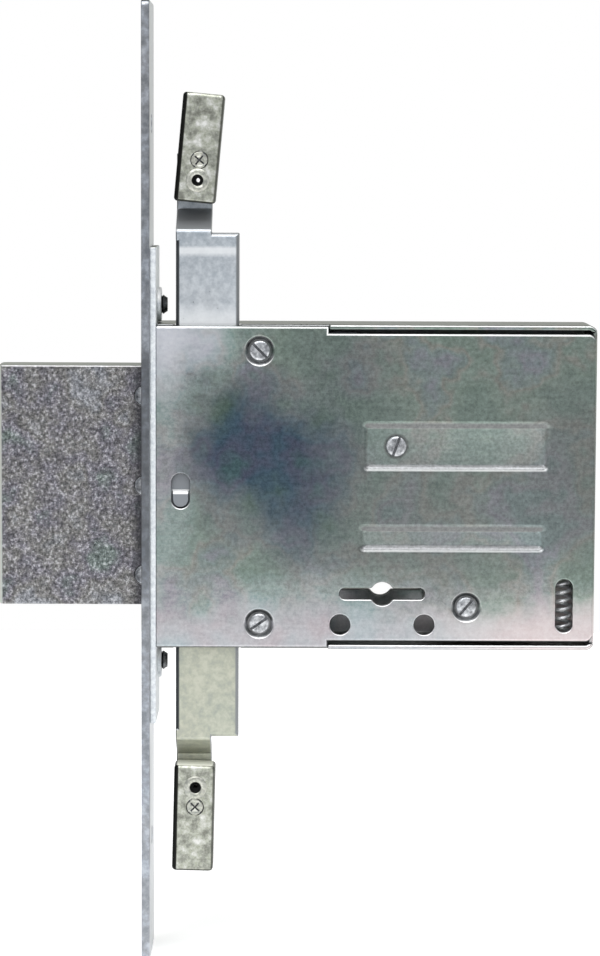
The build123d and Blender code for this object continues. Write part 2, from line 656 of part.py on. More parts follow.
def lever_depths():
    """Front face of each thin lever: one before the carriage, the others stacked behind it."""
    rear = [CARRIAGE_THICK / 2 + SLIDE_GAP + step * LEVER_PITCH for step in range(LEVER_COUNT - 1)]
    return [FIRST_LEVER_Y] + rear


def gate():
    """Window that the stump runs along, with a pocket in its top edge for each throw of the bolt."""
    lift = math.radians(LEVER_LIFT)
    room = STUMP_R + SLIDE_GAP
    x0 = STUMP_X - room - GATE_SHIFT
    x1 = STUMP_X + BOLT_THROW + room
    z0 = STUMP_Z - room - (PIVOT_POST_X - STUMP_X) * lift
    z1 = STUMP_Z + room + (STUMP_X + BOLT_THROW - PIVOT_POST_X) * lift
    window = Pos((x0 + x1) / 2, (z0 + z1) / 2) * Rectangle(x1 - x0, z1 - z0)
    for turn in range(TALON_COUNT + 1):
        x = STUMP_X + turn * BOLT_THROW / TALON_COUNT
        window += Pos(x, z0 + GATE_POCKET_R / 2) * Circle(GATE_POCKET_R)
    return window


def lever(y_front, thick, tail):
    leg_top = LOWER_PIN_Z - PAD_HALF - SLIDE_GAP - LEVER_RIM
    sketch = outline([
        (LEVER_LEFT_X, LEVER_TOP_Z),
        (LEVER_END_X, LEVER_TOP_Z),
        (LEVER_END_X, CATCH_TAIL_Z + CATCH_TAIL_HEIGHT),
        (PIVOT_POST_X + LEVER_BOSS_R, PIVOT_POST_Z),
        (LEVER_LEG_X, PIVOT_POST_Z),
        (LEVER_LEG_X, leg_top),
        (LEVER_LEFT_X, leg_top + LEVER_RIM),
    ])
    sketch += Pos(PIVOT_POST_X, PIVOT_POST_Z) * Circle(LEVER_BOSS_R)
    if tail:
        start_x = PIVOT_POST_X + LEVER_BOSS_R
        length = COIL_X + COIL_R - start_x
        middle = Pos(start_x + length / 2, CATCH_TAIL_Z + CATCH_TAIL_HEIGHT / 2)
        sketch += middle * Rectangle(length, CATCH_TAIL_HEIGHT)
    sketch -= Pos(BACKSET, KEY_Z) * Circle(KEY_SWEEP_R + 2 * SLIDE_GAP)
    sketch -= Pos(BACKSET, FIX_Z) * GridLocations(FIX_SPACING, 1, 2, 1) * Circle(FIX_HOLE_R + FIX_CLEAR)
    sketch -= Pos(PIVOT_POST_X, PIVOT_POST_Z) * Circle(PIVOT_POST_R + RUNNING_FIT)
    sketch -= gate()
    return slab(sketch, y_front, y_front + thick)


def lever_spacers():
    """Washers that fill the pivot post before, between and behind the levers."""
    depths = lever_depths()
    spans = [
        (PRESS_BACK_Y, CATCH_Y - SEAT_GAP),
        (depths[0] + LEVER_THICK + SEAT_GAP, depths[1] - SEAT_GAP),
        (depths[-1] + LEVER_THICK + SEAT_GAP, FLOOR_Y),
    ]
    place = Pos(PIVOT_POST_X, PIVOT_POST_Z)
    ring = place * Circle(SPACER_R) - place * Circle(PIVOT_POST_R + RUNNING_FIT)
    return [slab(ring, y0, y1) for y0, y1 in spans]


def spring_anchor():
    depths = lever_depths()
    half = ANCHOR_SIZE / 2
    body = block(
        ANCHOR_X - half, ANCHOR_X + half, depths[0] - SEAT_GAP, FLOOR_Y,
        ANCHOR_Z - half, ANCHOR_Z + half,
    )
    return body + disc(ANCHOR_X, ANCHOR_Z, POST_TENON_R, FLOOR_Y, BACK_Y)


def lever_springs():
    """One flat strip for each thin lever, from the anchor down to the lever's top edge."""
    x1 = ANCHOR_X - ANCHOR_SIZE / 2
    z1 = ANCHOR_Z - ANCHOR_SIZE / 4
    z0 = LEVER_TOP_Z + SEAT_GAP
    foot_x = PIVOT_POST_X - STRIP_FOOT
    strip = outline([
        (foot_x, z0), (foot_x + 2 * STRIP_THICK, z0),
        (x1, z1 - STRIP_THICK), (x1, z1),
    ])
    width = LEVER_THICK - 2 * SEAT_GAP
    return [slab(strip, y + SEAT_GAP, y + SEAT_GAP + width) for y in lever_depths()]


def catch_spring():
    """Coil spring that stands on the case's lower wall under the catch lever's tail."""
    y = CATCH_Y + CATCH_THICK / 2
    low = -INNER_TOP_Z + COIL_WIRE_R + SEAT_GAP
    high = CATCH_TAIL_Z - COIL_WIRE_R - SEAT_GAP
    radius = COIL_R - COIL_WIRE_R
    path = Helix(pitch=(high - low) / COIL_TURNS, height=high - low, radius=radius)
    start = Plane(origin=path @ 0, z_dir=path % 0)
    coil = sweep(start * Circle(COIL_WIRE_R), path=path, is_frenet=True)
    return Pos(COIL_X, y, low) * coil


def build():
    nodes = {
        "forend": forend(),
        "mounting_plate": mounting_plate(),
        "forend_screws": [forend_screw(side * PLATE_SCREW_SPACING / 2) for side in (-1, 1)],
        "case_tray": case_tray(),
        "case_cover": case_cover(),
        "bolt_guide_posts": [post(GUIDE_POST_X, side * GUIDE_POST_Z, GUIDE_POST_R) for side in (-1, 1)],
        "carriage_guide_post": post(CARRIAGE_POST_X, CARRIAGE_POST_Z, CARRIAGE_POST_R),
        "lever_pivot_post": post(PIVOT_POST_X, PIVOT_POST_Z, PIVOT_POST_R),
        "cover_screws": [cover_screw(*place) for place in cover_screw_places()],
        "deadbolt_block": deadbolt_block(),
        "bolt_rivets": bolt_rivets(),
        "bolt_carriage": bolt_carriage(),
        "bolt_stump": bolt_stump(),
        "upper_slide": upper_slide(),
        "lower_slide": lower_slide(),
        "upper_slide_pin": slide_pin(UPPER_PIN_Z),
        "lower_slide_pin": slide_pin(LOWER_PIN_Z),
        "lever_spacers": lever_spacers(),
        "spring_anchor": spring_anchor(),
        "lever_springs": lever_springs(),
        "catch_spring": catch_spring(),
        "catch_lever": lever(CATCH_Y, CATCH_THICK, True),
    }
    for side, name in ((1, "upper"), (-1, "lower")):
        nodes[name + "_connector"] = connector(side)
        nodes[name + "_connector_rivet"] = connector_rivet(side)
        nodes[name + "_clamp_screw"] = clamp_screw(side)
    for number, y in enumerate(lever_depths(), 1):
        nodes[f"lever_{number}"] = lever(y, LEVER_THICK, False)
    return nodes


def seated(shape):
    """The piece moved so that x = 0 is the forend's back face."""
    return Pos(-FOREND_THICK) * shape


os.makedirs("parts", exist_ok=True)
for name, shape in build().items():
    if isinstance(shape, list):
        shape = Compound(children=[seated(piece) for piece in shape])
    else:
        shape = seated(shape)
    export_step(shape, f"parts/{name}.step")
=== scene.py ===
# %% [markdown]
# # Multipoint mortise lock
# A folded sheet case with a wide deadbolt, two rod slides and their connectors, on a long face plate.
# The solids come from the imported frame. This lesson gives them worn edges, real fasteners and finishes,
# and puts them in plain soft studio light.

# %% Load the frame
import math

import bpy
from mathutils import Euler, Matrix, Vector


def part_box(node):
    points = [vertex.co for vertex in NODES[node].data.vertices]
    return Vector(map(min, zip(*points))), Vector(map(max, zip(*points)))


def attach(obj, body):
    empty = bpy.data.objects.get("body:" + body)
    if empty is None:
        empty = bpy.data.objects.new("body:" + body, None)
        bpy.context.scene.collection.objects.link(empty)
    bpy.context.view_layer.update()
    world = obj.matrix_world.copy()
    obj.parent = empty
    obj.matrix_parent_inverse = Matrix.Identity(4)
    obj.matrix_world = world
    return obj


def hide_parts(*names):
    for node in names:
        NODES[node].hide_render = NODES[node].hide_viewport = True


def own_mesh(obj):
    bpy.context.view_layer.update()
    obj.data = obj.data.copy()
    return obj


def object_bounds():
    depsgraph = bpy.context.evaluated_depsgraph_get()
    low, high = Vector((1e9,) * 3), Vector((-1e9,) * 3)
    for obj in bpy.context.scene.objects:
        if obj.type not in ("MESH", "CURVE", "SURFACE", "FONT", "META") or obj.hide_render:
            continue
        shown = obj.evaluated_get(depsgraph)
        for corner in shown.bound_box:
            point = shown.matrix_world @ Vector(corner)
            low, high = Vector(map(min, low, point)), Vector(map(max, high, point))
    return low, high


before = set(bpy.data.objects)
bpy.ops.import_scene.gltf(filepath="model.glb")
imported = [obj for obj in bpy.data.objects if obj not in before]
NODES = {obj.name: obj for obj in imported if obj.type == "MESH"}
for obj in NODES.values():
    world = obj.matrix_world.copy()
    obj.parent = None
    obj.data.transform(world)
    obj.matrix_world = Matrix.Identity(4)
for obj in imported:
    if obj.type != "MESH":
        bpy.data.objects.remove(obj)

CAD_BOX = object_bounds()
MM = 0.001
print("nodes", len(NODES), "box in mm", [[round(v / MM, 1) for v in corner] for corner in CAD_BOX])

# %% [markdown]
# Every length below is written in millimetres and turned into metres by `mm`.
# All pieces stand in the frame's own place: x = 0 is the back of the face plate, -Y is the side of the
# cover, and +Z is up. Colours are written as on a screen, so `linear` turns them into the values that
# Blender mixes. `add_node` makes every shader node.

# %% Small helpers for length, colour and nodes


def mm(*values):
    """Millimetres to metres: one number, or a vector."""
    return values[0] * MM if len(values) == 1 else Vector(values) * MM


def linear(hex_colour):
    """An sRGB hex colour as linear RGBA."""
    parts = [int(hex_colour[i:i + 2], 16) / 255 for i in (1, 3, 5)]
    curve = [p / 12.92 if p <= 0.04045 else ((p + 0.055) / 1.055) ** 2.4 for p in parts]
    return (*curve, 1.0)


def add_node(tree, kind, inputs=None, stops=(), **settings):
    """Adds a node with its settings. An input is linked if it is a socket and set if it is a value.
    Stops fill a colour ramp."""
    made = tree.nodes.new(kind)
    for name, value in settings.items():
        setattr(made, name, value)
    for name, value in (inputs or {}).items():
        if isinstance(value, bpy.types.NodeSocket):
            tree.links.new(value, made.inputs[name])
        elif isinstance(value, str):
            made.inputs[name].default_value = linear(value)
        else:
            made.inputs[name].default_value = value
    for _ in stops[2:]:
        made.color_ramp.elements.new(1.0)
    for index, (position, colour) in enumerate(stops):
        made.color_ramp.elements[index].position = position
        made.color_ramp.elements[index].color = linear(colour)
    return made


def blank(name):
    """A material with a Principled shader. Returns material, tree, shader and object coordinates."""
    material = bpy.data.materials.new(name)
    material.use_nodes = True
    tree = material.node_tree
    shader = tree.nodes["Principled BSDF"]
    place = add_node(tree, "ShaderNodeTexCoord").outputs["Object"]
    return material, tree, shader, place


# %% [markdown]
# ## Camera
# The photograph looks square on to the cover from nearly 0.8 m. The lens stands a hand's width above the
# lock's middle and tips down by under six degrees, so the top faces of the bolt and the case just show.

# %% Camera
CAMERA_PLACE = mm(35.0, -782.8, 79.4)
CAMERA_DOWN = 5.69
CAMERA_RIGHT = 0.17
CAMERA_ROLL = 0.24
FOCAL_PIXELS = 3123
PICTURE_HEIGHT = 956
SENSOR = 36.0

camera_data = bpy.data.cameras.new("studio_camera")
camera = bpy.data.objects.new("studio_camera", camera_data)
bpy.context.scene.collection.objects.link(camera)
aimed = Euler((math.radians(90 - CAMERA_DOWN), 0, -math.radians(CAMERA_RIGHT))).to_matrix()
camera.rotation_euler = (aimed @ Matrix.Rotation(math.radians(CAMERA_ROLL), 3, "Z")).to_euler()
camera.location = CAMERA_PLACE
camera_data.sensor_width = SENSOR
camera_data.lens = FOCAL_PIXELS / PICTURE_HEIGHT * SENSOR
camera_data.clip_start = 0.01
camera_data.clip_end = 50
bpy.context.scene.camera = camera
print("lens", round(camera_data.lens, 1), "mm")

# %% [markdown]
# ## Light
# Bare metal shows what it mirrors, so the studio is planned from the photograph. Each edge that turns
# upwards has a white line: a large soft box hangs above and a little in front. Flat faces are middle grey
# and get lighter downwards: the room behind the lens is dim and its floor pale. Narrow faces that are
# seen at a low angle are nearly white: they mirror the white backdrop. Faces that lean back are olive
# grey, so the ceiling behind the lock is dim. The lens itself sees plain white.

# %% World
FRONT_ROOM = [
    (0.0, "#e6e6e6"), (0.38, "#dcdcde"), (0.44, "#c4c5c7"), (0.49, "#a9abad"),
    (0.55, "#b0b3b6"), (0.66, "#b4b8bb"), (0.76, "#f4f5f6"), (1.0, "#ffffff"),
]
BACK_ROOM = [
    (0.0, "#c8c8c8"), (0.40, "#b4b6b2"), (0.46, "#eff0ed"), (0.60, "#f0f1ec"),
    (0.70, "#7a7d76"), (0.90, "#5f635c"), (1.0, "#666a64"),
]

world = bpy.data.worlds.new("soft_studio")
bpy.context.scene.world = world
world.use_nodes = True
sky = world.node_tree
sky.nodes.clear()
heading = add_node(sky, "ShaderNodeTexCoord").outputs["Generated"]
heading = add_node(sky, "ShaderNodeSeparateXYZ", {"Vector": heading}).outputs
lifted = add_node(sky, "ShaderNodeMapRange", {
    "Value": heading["Z"], "From Min": -1.0, "From Max": 1.0}).outputs[0]
front = add_node(sky, "ShaderNodeValToRGB", {"Fac": lifted}, stops=FRONT_ROOM).outputs[0]
back = add_node(sky, "ShaderNodeValToRGB", {"Fac": lifted}, stops=BACK_ROOM).outputs[0]
behind = add_node(sky, "ShaderNodeMapRange", {
    "Value": heading["Y"], "From Min": -0.2, "From Max": 0.1}, interpolation_type="SMOOTHSTEP").outputs[0]
room = add_node(sky, "ShaderNodeMix", {"Factor": behind, 6: front, 7: back}, data_type="RGBA").outputs[2]
mirrored = add_node(sky, "ShaderNodeBackground", {"Color": room, "Strength": 1.0}).outputs[0]
seen = add_node(sky, "ShaderNodeBackground", {"Color": "#ffffff", "Strength": 1.0}).outputs[0]
lens_ray = add_node(sky, "ShaderNodeLightPath").outputs["Is Camera Ray"]
chosen = add_node(sky, "ShaderNodeMixShader", {0: lens_ray, 1: mirrored, 2: seen}).outputs[0]
add_node(sky, "ShaderNodeOutputWorld", {"Surface": chosen})
bpy.context.scene.view_settings.view_transform = "Standard"
print("room tones", len(FRONT_ROOM), "and", len(BACK_ROOM))

# %% [markdown]
# Two area lights add what a world colour can't: a hard bright band on the rounds and a soft fall-off. The
# first hangs above the lock, the second stands high at the left, behind the lens.

# %% Soft boxes


def soft_box(name, place, aim, size, watts):
    """A rectangular area light that faces a point."""
    data = bpy.data.lights.new(name, "AREA")
    data.shape = "RECTANGLE"
    data.size, data.size_y = size
    data.energy = watts
    lamp = bpy.data.objects.new(name, data)
    bpy.context.scene.collection.objects.link(lamp)
    lamp.location = place
    lamp.rotation_euler = (Vector(aim) - Vector(place)).to_track_quat("-Z", "Y").to_euler()
    print(name, watts, "W")


soft_box("top_box", (0.05, -0.38, 0.85), (0.03, 0, 0), (0.9, 0.6), 6.0)
soft_box("front_fill", (-0.35, -1.6, 0.9), (0.03, 0, 0), (0.8, 0.5), 5.0)

# %% [markdown]
# A small pale table lies under the lower end of the face plate. It is small so that the cover mirrors the
# room and not the table.

# %% Floor
FLOOR_SIZE = 1.1
floor_z = CAD_BOX[0].z - mm(0.2)
bpy.ops.object.select_all(action="DESELECT")
bpy.ops.mesh.primitive_plane_add(size=FLOOR_SIZE, location=(0, 0, floor_z))
studio_floor = bpy.context.object
studio_floor.name = "studio_floor"
floor_paint, _, shader, _ = blank("pale floor paint")
shader.inputs["Base Color"].default_value = linear("#f6f6f6")
shader.inputs["Roughness"].default_value = 0.8
shader.inputs["Emission Color"].default_value = linear("#ffffff")
shader.inputs["Emission Strength"].default_value = 0.55
studio_floor.data.materials.append(floor_paint)
print("floor at", round(floor_z / MM, 1), "mm")

# %% [markdown]
# ## Finishes
# Nearly everything is steel with a thin electroplated zinc layer. The clear chromate dip over it leaves a
# film thinner than a wavelength, which turns green, violet and brown in patches. Cold-rolled sheet shows this
# best, so the case gets the richest recipe. On the cover it also holds painted reflection: the dim room and
# the pale floor that its flat front mirrors. It is built in seven steps: film colours, a slate-blue pool of
# painted reflection, paler borders of painted reflection, the pressed ribs with painted shade and highlight
# on their slopes, dark rings round the screws, rolling lines with grain, and painted highlights on the edges
# with a painted olive tone on the upper side.

# %% Zinc film: colours in clouds about a centimetre wide
sheet_zinc, tree, shader, place = blank("bright zinc with clear chromate on rolled sheet")
COVER_FRONT = -10.75
FILM_TONES = [
    (0.36, "#aebfb7"), (0.44, "#bac5bf"), (0.49, "#c2c3be"),
    (0.54, "#b8c3c1"), (0.60, "#bfc0c5"), (0.67, "#b0bfbf")]
# Pool tones: painted reflection of the dim room, darker than the film.
POOL_REFLECTION_TONES = [(0.36, "#6c877d"), (0.45, "#6a8490"), (0.53, "#667f93"), (0.61, "#747c93"), (0.70, "#6c8a90")]
PALE_TONES = [(0.36, "#d6dadc"), (0.50, "#dadadc"), (0.64, "#dad6d8")]

cloud = add_node(tree, "ShaderNodeTexNoise", {
    "Vector": place, "Scale": 1 / mm(13), "Detail": 4.0, "Roughness": 0.62}).outputs
warped = add_node(tree, "ShaderNodeVectorMath", {
    0: cloud["Color"], 1: mm(20, 20, 20), 2: mm(-10, -10, -10)}, operation="MULTIPLY_ADD").outputs[0]
warped = add_node(tree, "ShaderNodeVectorMath", {0: place, 1: warped}, operation="ADD").outputs[0]
blotch = add_node(tree, "ShaderNodeTexNoise", {
    "Vector": place, "Scale": 1 / mm(15), "Detail": 3.0, "Roughness": 0.5}).outputs["Fac"]
film = add_node(tree, "ShaderNodeValToRGB", {"Fac": blotch}, stops=FILM_TONES).outputs[0]
pool_reflection = add_node(tree, "ShaderNodeValToRGB", {"Fac": blotch}, stops=POOL_REFLECTION_TONES).outputs[0]
pale = add_node(tree, "ShaderNodeValToRGB", {"Fac": blotch}, stops=PALE_TONES).outputs[0]
print("film tones", len(FILM_TONES), "pool tones", len(POOL_REFLECTION_TONES))

# %% [markdown]
# The pool is painted reflection: the dim room that the flat cover mirrors, darker than the film and in its
# slate-blue hues. It lies left of the cover's middle and reaches up to the right. Each of its lobes is a soft
# round patch on coordinates that a cloud has pushed about, so no border is round. A thin grey veil of painted
# reflection lies over the middle and the right.

# %% Zinc film: the pool of painted reflection


def patch(x, z, reach, height=1.0):
    """Height in the middle of a soft round patch on the cover, falling to 0 at its reach."""
    away = add_node(tree, "ShaderNodeVectorMath", {
        0: warped, 1: mm(x, COVER_FRONT, z)}, operation="DISTANCE").outputs["Value"]
    return add_node(tree, "ShaderNodeMapRange", {
        "Value": away, "From Min": mm(reach), "From Max": 0.0, "To Max": height},
        interpolation_type="SMOOTHSTEP").outputs[0]


LOBES = [(27, 6, 27, 1.0), (20, 19, 20, 0.55), (42, 6, 24, 0.45), (48, 27, 20, 0.3), (38, -12, 18, 0.4)]
depth = patch(*LOBES[0])
for lobe in LOBES[1:]:
    depth = add_node(tree, "ShaderNodeMath", {
        0: depth, 1: patch(*lobe)}, operation="ADD", use_clamp=True).outputs[0]
colour = add_node(tree, "ShaderNodeMix", {"Factor": depth, 6: film, 7: pool_reflection}, data_type="RGBA").outputs[2]
# A grey veil of painted reflection over the middle and the right.
painted_veil = add_node(tree, "ShaderNodeMath", {
    0: patch(64, -14, 44, 0.36), 1: patch(106, 4, 34, 0.36)}, operation="MAXIMUM").outputs[0]
colour = add_node(tree, "ShaderNodeMix", {
    "Factor": painted_veil, 6: colour, 7: "#8b9692"}, data_type="RGBA").outputs[2]
print("pool lobes", len(LOBES))

# %% [markdown]
# Towards the left and lower edges the sheet is paler, with a touch of pink at the lower right, and the upper
# left corner is nearly white. Both are painted reflection of the pale floor and the bright upper left.
# `warped` is the cloudy place, so these borders wander too.

# %% Zinc film: paler borders of painted reflection


def ramp_along(value, start, end, height=1.0):
    """0 at the start and the height at the end, in millimetres along one axis."""
    return add_node(tree, "ShaderNodeMapRange", {
        "Value": value, "From Min": mm(start), "From Max": mm(end), "To Max": height},
        interpolation_type="SMOOTHSTEP").outputs[0]


where = add_node(tree, "ShaderNodeSeparateXYZ", {"Vector": warped}).outputs
# Painted reflection: paler towards the left and the lower edge, pinker at the lower right.
warm = ramp_along(where["X"], 55, 95, 0.6)
pale = add_node(tree, "ShaderNodeMix", {"Factor": warm, 6: pale, 7: "#f4eceb"}, data_type="RGBA").outputs[2]
low = ramp_along(where["Z"], -15, -37)
left = ramp_along(where["X"], 15, 3, 0.6)
border = add_node(tree, "ShaderNodeMath", {0: low, 1: left}, operation="MAXIMUM").outputs[0]
colour = add_node(tree, "ShaderNodeMix", {"Factor": border, 6: colour, 7: pale}, data_type="RGBA").outputs[2]
# Painted reflection: a nearly white upper left corner.
bright_corner = patch(3, 41, 27)
colour = add_node(tree, "ShaderNodeMix", {
    "Factor": bright_corner, 6: colour, 7: "#eeeff3"}, data_type="RGBA").outputs[2]
print("borders and the bright corner")

# %% [markdown]
# The press tool has polished the floors of the two ribs and stretched their slopes. Depth below the cover's
# front tells what lies in a rib, and `outside` leaves out the sheet's inner face. The surface's own direction
# tells a floor from the slope above it, which gets painted shade, and the slope below it, which faces up and
# gets a lighter painted highlight.

# %% Zinc film: rib floors, and painted shade and highlight on the slopes
true_place = add_node(tree, "ShaderNodeSeparateXYZ", {"Vector": place}).outputs
pressed_in = add_node(tree, "ShaderNodeMapRange", {
    "Value": true_place["Y"], "From Min": mm(-10.72), "From Max": mm(-10.5)}).outputs[0]
outside = add_node(tree, "ShaderNodeMapRange", {
    "Value": true_place["Y"], "From Min": mm(-8.6), "From Max": mm(-8.9), "To Max": 0.3}).outputs[0]
polished = add_node(tree, "ShaderNodeMath", {0: pressed_in, 1: outside}, operation="MULTIPLY").outputs[0]
facing = add_node(tree, "ShaderNodeNewGeometry").outputs["Normal"]
facing = add_node(tree, "ShaderNodeSeparateXYZ", {"Vector": facing}).outputs
flat = add_node(tree, "ShaderNodeMapRange", {
    "Value": facing["Y"], "From Min": -0.9, "From Max": -0.99}).outputs[0]
flat = add_node(tree, "ShaderNodeMath", {0: flat, 1: polished}, operation="MULTIPLY").outputs[0]
colour = add_node(tree, "ShaderNodeMix", {
    "Factor": flat, 6: colour, 7: "#ecedee"}, data_type="RGBA").outputs[2]
# Painted shade on the slope that faces down.
under = add_node(tree, "ShaderNodeMapRange", {
    "Value": facing["Z"], "From Min": -0.10, "From Max": -0.30}).outputs[0]
under = add_node(tree, "ShaderNodeMath", {0: under, 1: pressed_in}, operation="MULTIPLY").outputs[0]
colour = add_node(tree, "ShaderNodeMix", {
    "Factor": under, 6: colour, 7: "#a0a2a2"}, data_type="RGBA").outputs[2]
# Painted highlight on the slope that faces up.
slope = add_node(tree, "ShaderNodeMapRange", {
    "Value": facing["Z"], "From Min": 0.10, "From Max": 0.30}).outputs[0]
slope = add_node(tree, "ShaderNodeMath", {0: slope, 1: pressed_in}, operation="MULTIPLY").outputs[0]
colour = add_node(tree, "ShaderNodeMix", {
    "Factor": slope, 6: colour, 7: "#b4b6b8"}, data_type="RGBA").outputs[2]
print("rib floors and slopes")

# %% [markdown]
# Each cover screw's head stands in a dark ring in its dimple. The ring is drawn by the distance from the
# screw's seat and reaches only a little way up the dimple's side. Each screw has its place and the angle at
# which its slot stopped.

# %% Zinc film: dark rings round the screw heads
COVER_SCREWS = [(27.2, 34.1, -45), (27.2, -34.1, 35), (61.2, 10.4, 70), (78.9, -29.8, 50)]
SCREW_SEAT = -9.75
for x, z, _ in COVER_SCREWS:
    away = add_node(tree, "ShaderNodeVectorMath", {
        0: place, 1: mm(x, SCREW_SEAT, z)}, operation="DISTANCE").outputs["Value"]
    dark_ring = add_node(tree, "ShaderNodeMapRange", {
        "Value": away, "From Min": mm(3.3), "From Max": mm(2.7), "To Max": 0.5}).outputs[0]
    colour = add_node(tree, "ShaderNodeMix", {
        "Factor": dark_ring, 6: colour, 7: "#55575a"}, data_type="RGBA").outputs[2]
print("dark rings", len(COVER_SCREWS))

# %% [markdown]
# Skin-pass rolling leaves faint lines and the plating a fine grain. Both are drawn a little coarser than
# they are, 0.9 mm and 0.8 mm, because finer ones wouldn't show in a picture of this size.

# %% Zinc film: lines and grain
along = add_node(tree, "ShaderNodeMapping", {
    "Vector": place, "Rotation": (0, math.radians(-52), 0), "Scale": (1 / mm(9), 1 / mm(9), 1 / mm(0.9))})
streak = add_node(tree, "ShaderNodeTexNoise", {
    "Vector": along.outputs[0], "Scale": 1.0, "Detail": 2.0, "Roughness": 0.6}).outputs["Fac"]
streak = add_node(tree, "ShaderNodeValToRGB", {
    "Fac": streak}, stops=[(0.35, "#757575"), (0.65, "#8b8b8b")]).outputs[0]
colour = add_node(tree, "ShaderNodeMix", {
    "Factor": 0.5, 6: colour, 7: streak}, data_type="RGBA", blend_type="OVERLAY").outputs[2]
grain = add_node(tree, "ShaderNodeTexNoise", {
    "Vector": place, "Scale": 1 / mm(0.8), "Detail": 2.0, "Roughness": 0.7}).outputs["Fac"]
speck = add_node(tree, "ShaderNodeValToRGB", {
    "Fac": grain}, stops=[(0.30, "#606060"), (0.70, "#a0a0a0")]).outputs[0]
colour = add_node(tree, "ShaderNodeMix", {
    "Factor": 0.6, 6: colour, 7: speck}, data_type="RGBA", blend_type="OVERLAY").outputs[2]
rough = add_node(tree, "ShaderNodeMapRange", {"Value": grain, "To Min": 0.26, "To Max": 0.40}).outputs[0]
tree.links.new(rough, shader.inputs["Roughness"])
skin = add_node(tree, "ShaderNodeBump", {"Height": grain, "Strength": 0.3, "Distance": mm(0.04)}).outputs[0]
tree.links.new(skin, shader.inputs["Normal"])
print("grain")

# %% [markdown]
# Edges that lean towards the light get a painted highlight of near-white zinc, made less metallic, and the
# narrow upper side of the case gets a painted olive tone for the dim ceiling that it mirrors. Geometry's
# Normal says which way the metal faces, from wherever it is seen, so both stay in place in every view. Other
# pieces get the same painted light, so this is a function.

# %% Painted edge highlights and painted olive upper sides


def painted_edge_highlights(tree, shader, colour, upper="#7c8078", metallic=1.0, amount=0.9, shelter=1.0):
    """Paints a highlight on the rounds between the front and upper sides, paints a tone on the upper side,
    and links the colour. Shelter is a share, or a socket that gives one, by which less highlight is painted."""
    facing = add_node(tree, "ShaderNodeNewGeometry").outputs["Normal"]
    facing = add_node(tree, "ShaderNodeSeparateXYZ", {"Vector": facing}).outputs
    rising = add_node(tree, "ShaderNodeMapRange", {
        "Value": facing["Z"], "From Min": 0.12, "From Max": 0.35}).outputs[0]
    front = add_node(tree, "ShaderNodeMapRange", {
        "Value": facing["Y"], "From Min": -0.04, "From Max": -0.2}).outputs[0]
    edge_highlight = add_node(tree, "ShaderNodeMath", {0: rising, 1: front}, operation="MULTIPLY").outputs[0]
    edge_highlight = add_node(tree, "ShaderNodeMath", {0: edge_highlight, 1: amount}, operation="MULTIPLY").outputs[0]
    edge_highlight = add_node(tree, "ShaderNodeMath", {0: edge_highlight, 1: shelter}, operation="MULTIPLY").outputs[0]
    painted_top_share = add_node(tree, "ShaderNodeMapRange", {
        "Value": facing["Z"], "From Min": 0.95, "From Max": 0.99}).outputs[0]
    colour = add_node(tree, "ShaderNodeMix", {
        "Factor": painted_top_share, 6: colour, 7: upper}, data_type="RGBA").outputs[2]
    colour = add_node(tree, "ShaderNodeMix", {
        "Factor": edge_highlight, 6: colour, 7: "#f7f7f7"}, data_type="RGBA").outputs[2]
    tree.links.new(colour, shader.inputs["Base Color"])
    dull = add_node(tree, "ShaderNodeMapRange", {
        "Value": edge_highlight, "To Min": metallic, "To Max": 0.35 * metallic}).outputs[0]
    tree.links.new(dull, shader.inputs["Metallic"])


# Less painted highlight inside the ribs.
in_the_open = add_node(tree, "ShaderNodeMapRange", {
    "Value": polished, "From Max": 0.25, "To Min": 1.0, "To Max": 0.0}).outputs[0]
painted_edge_highlights(tree, shader, colour, shelter=in_the_open)
print("made", sheet_zinc.name)

# %% [markdown]
# The rest of the plated steel is plainer. One recipe serves them all: two tones of grain, a slow drift from
# cool to warm, roughness, and a bump 0.03 mm deep. A barrel-plated or blasted part has a matt layer over the
# metal, so its metallic value is below one and it looks paler than a mirror would.

# %% Plated and cast metals


def plated(name, dark, light, grain_mm, low, high, contrast=(0.35, 0.65), metallic=1.0):
    """A grained metal: two tones of noise, roughness between low and high, and a fine bump."""
    material, tree, shader, place = blank(name)
    grain = add_node(tree, "ShaderNodeTexNoise", {
        "Vector": place, "Scale": 1 / mm(grain_mm), "Detail": 3.0, "Roughness": 0.65}).outputs["Fac"]
    cloud = add_node(tree, "ShaderNodeTexNoise", {
        "Vector": place, "Scale": 1 / mm(grain_mm * 9), "Detail": 2.0}).outputs["Fac"]
    tones = add_node(tree, "ShaderNodeValToRGB", {
        "Fac": grain}, stops=[(contrast[0], dark), (contrast[1], light)]).outputs[0]
    slow = add_node(tree, "ShaderNodeValToRGB", {
        "Fac": cloud}, stops=[(0.3, "#757a80"), (0.7, "#8b8987")]).outputs[0]
    colour = add_node(tree, "ShaderNodeMix", {
        "Factor": 0.5, 6: tones, 7: slow}, data_type="RGBA", blend_type="OVERLAY").outputs[2]
    tree.links.new(colour, shader.inputs["Base Color"])
    rough = add_node(tree, "ShaderNodeMapRange", {"Value": grain, "To Min": low, "To Max": high}).outputs[0]
    tree.links.new(rough, shader.inputs["Roughness"])
    shader.inputs["Metallic"].default_value = metallic
    bump = add_node(tree, "ShaderNodeBump", {"Height": grain, "Strength": 0.5, "Distance": mm(0.03)})
    tree.links.new(bump.outputs[0], shader.inputs["Normal"])
    return material


# Drawn bar: smooth, with cloudy patches a few millimetres wide.
bar_zinc = plated(
    "zinc plate on drawn flat bar", "#9da1a7", "#c8cbd0", 2.2, 0.28, 0.42, contrast=(0.34, 0.66))
# Pressed plate: matt and nearly white, as bright as paper in soft light.
plate_zinc = plated("matt zinc on pressed inner plate", "#d4d8dc", "#eceff1", 1.2, 0.35, 0.5, metallic=0.3)
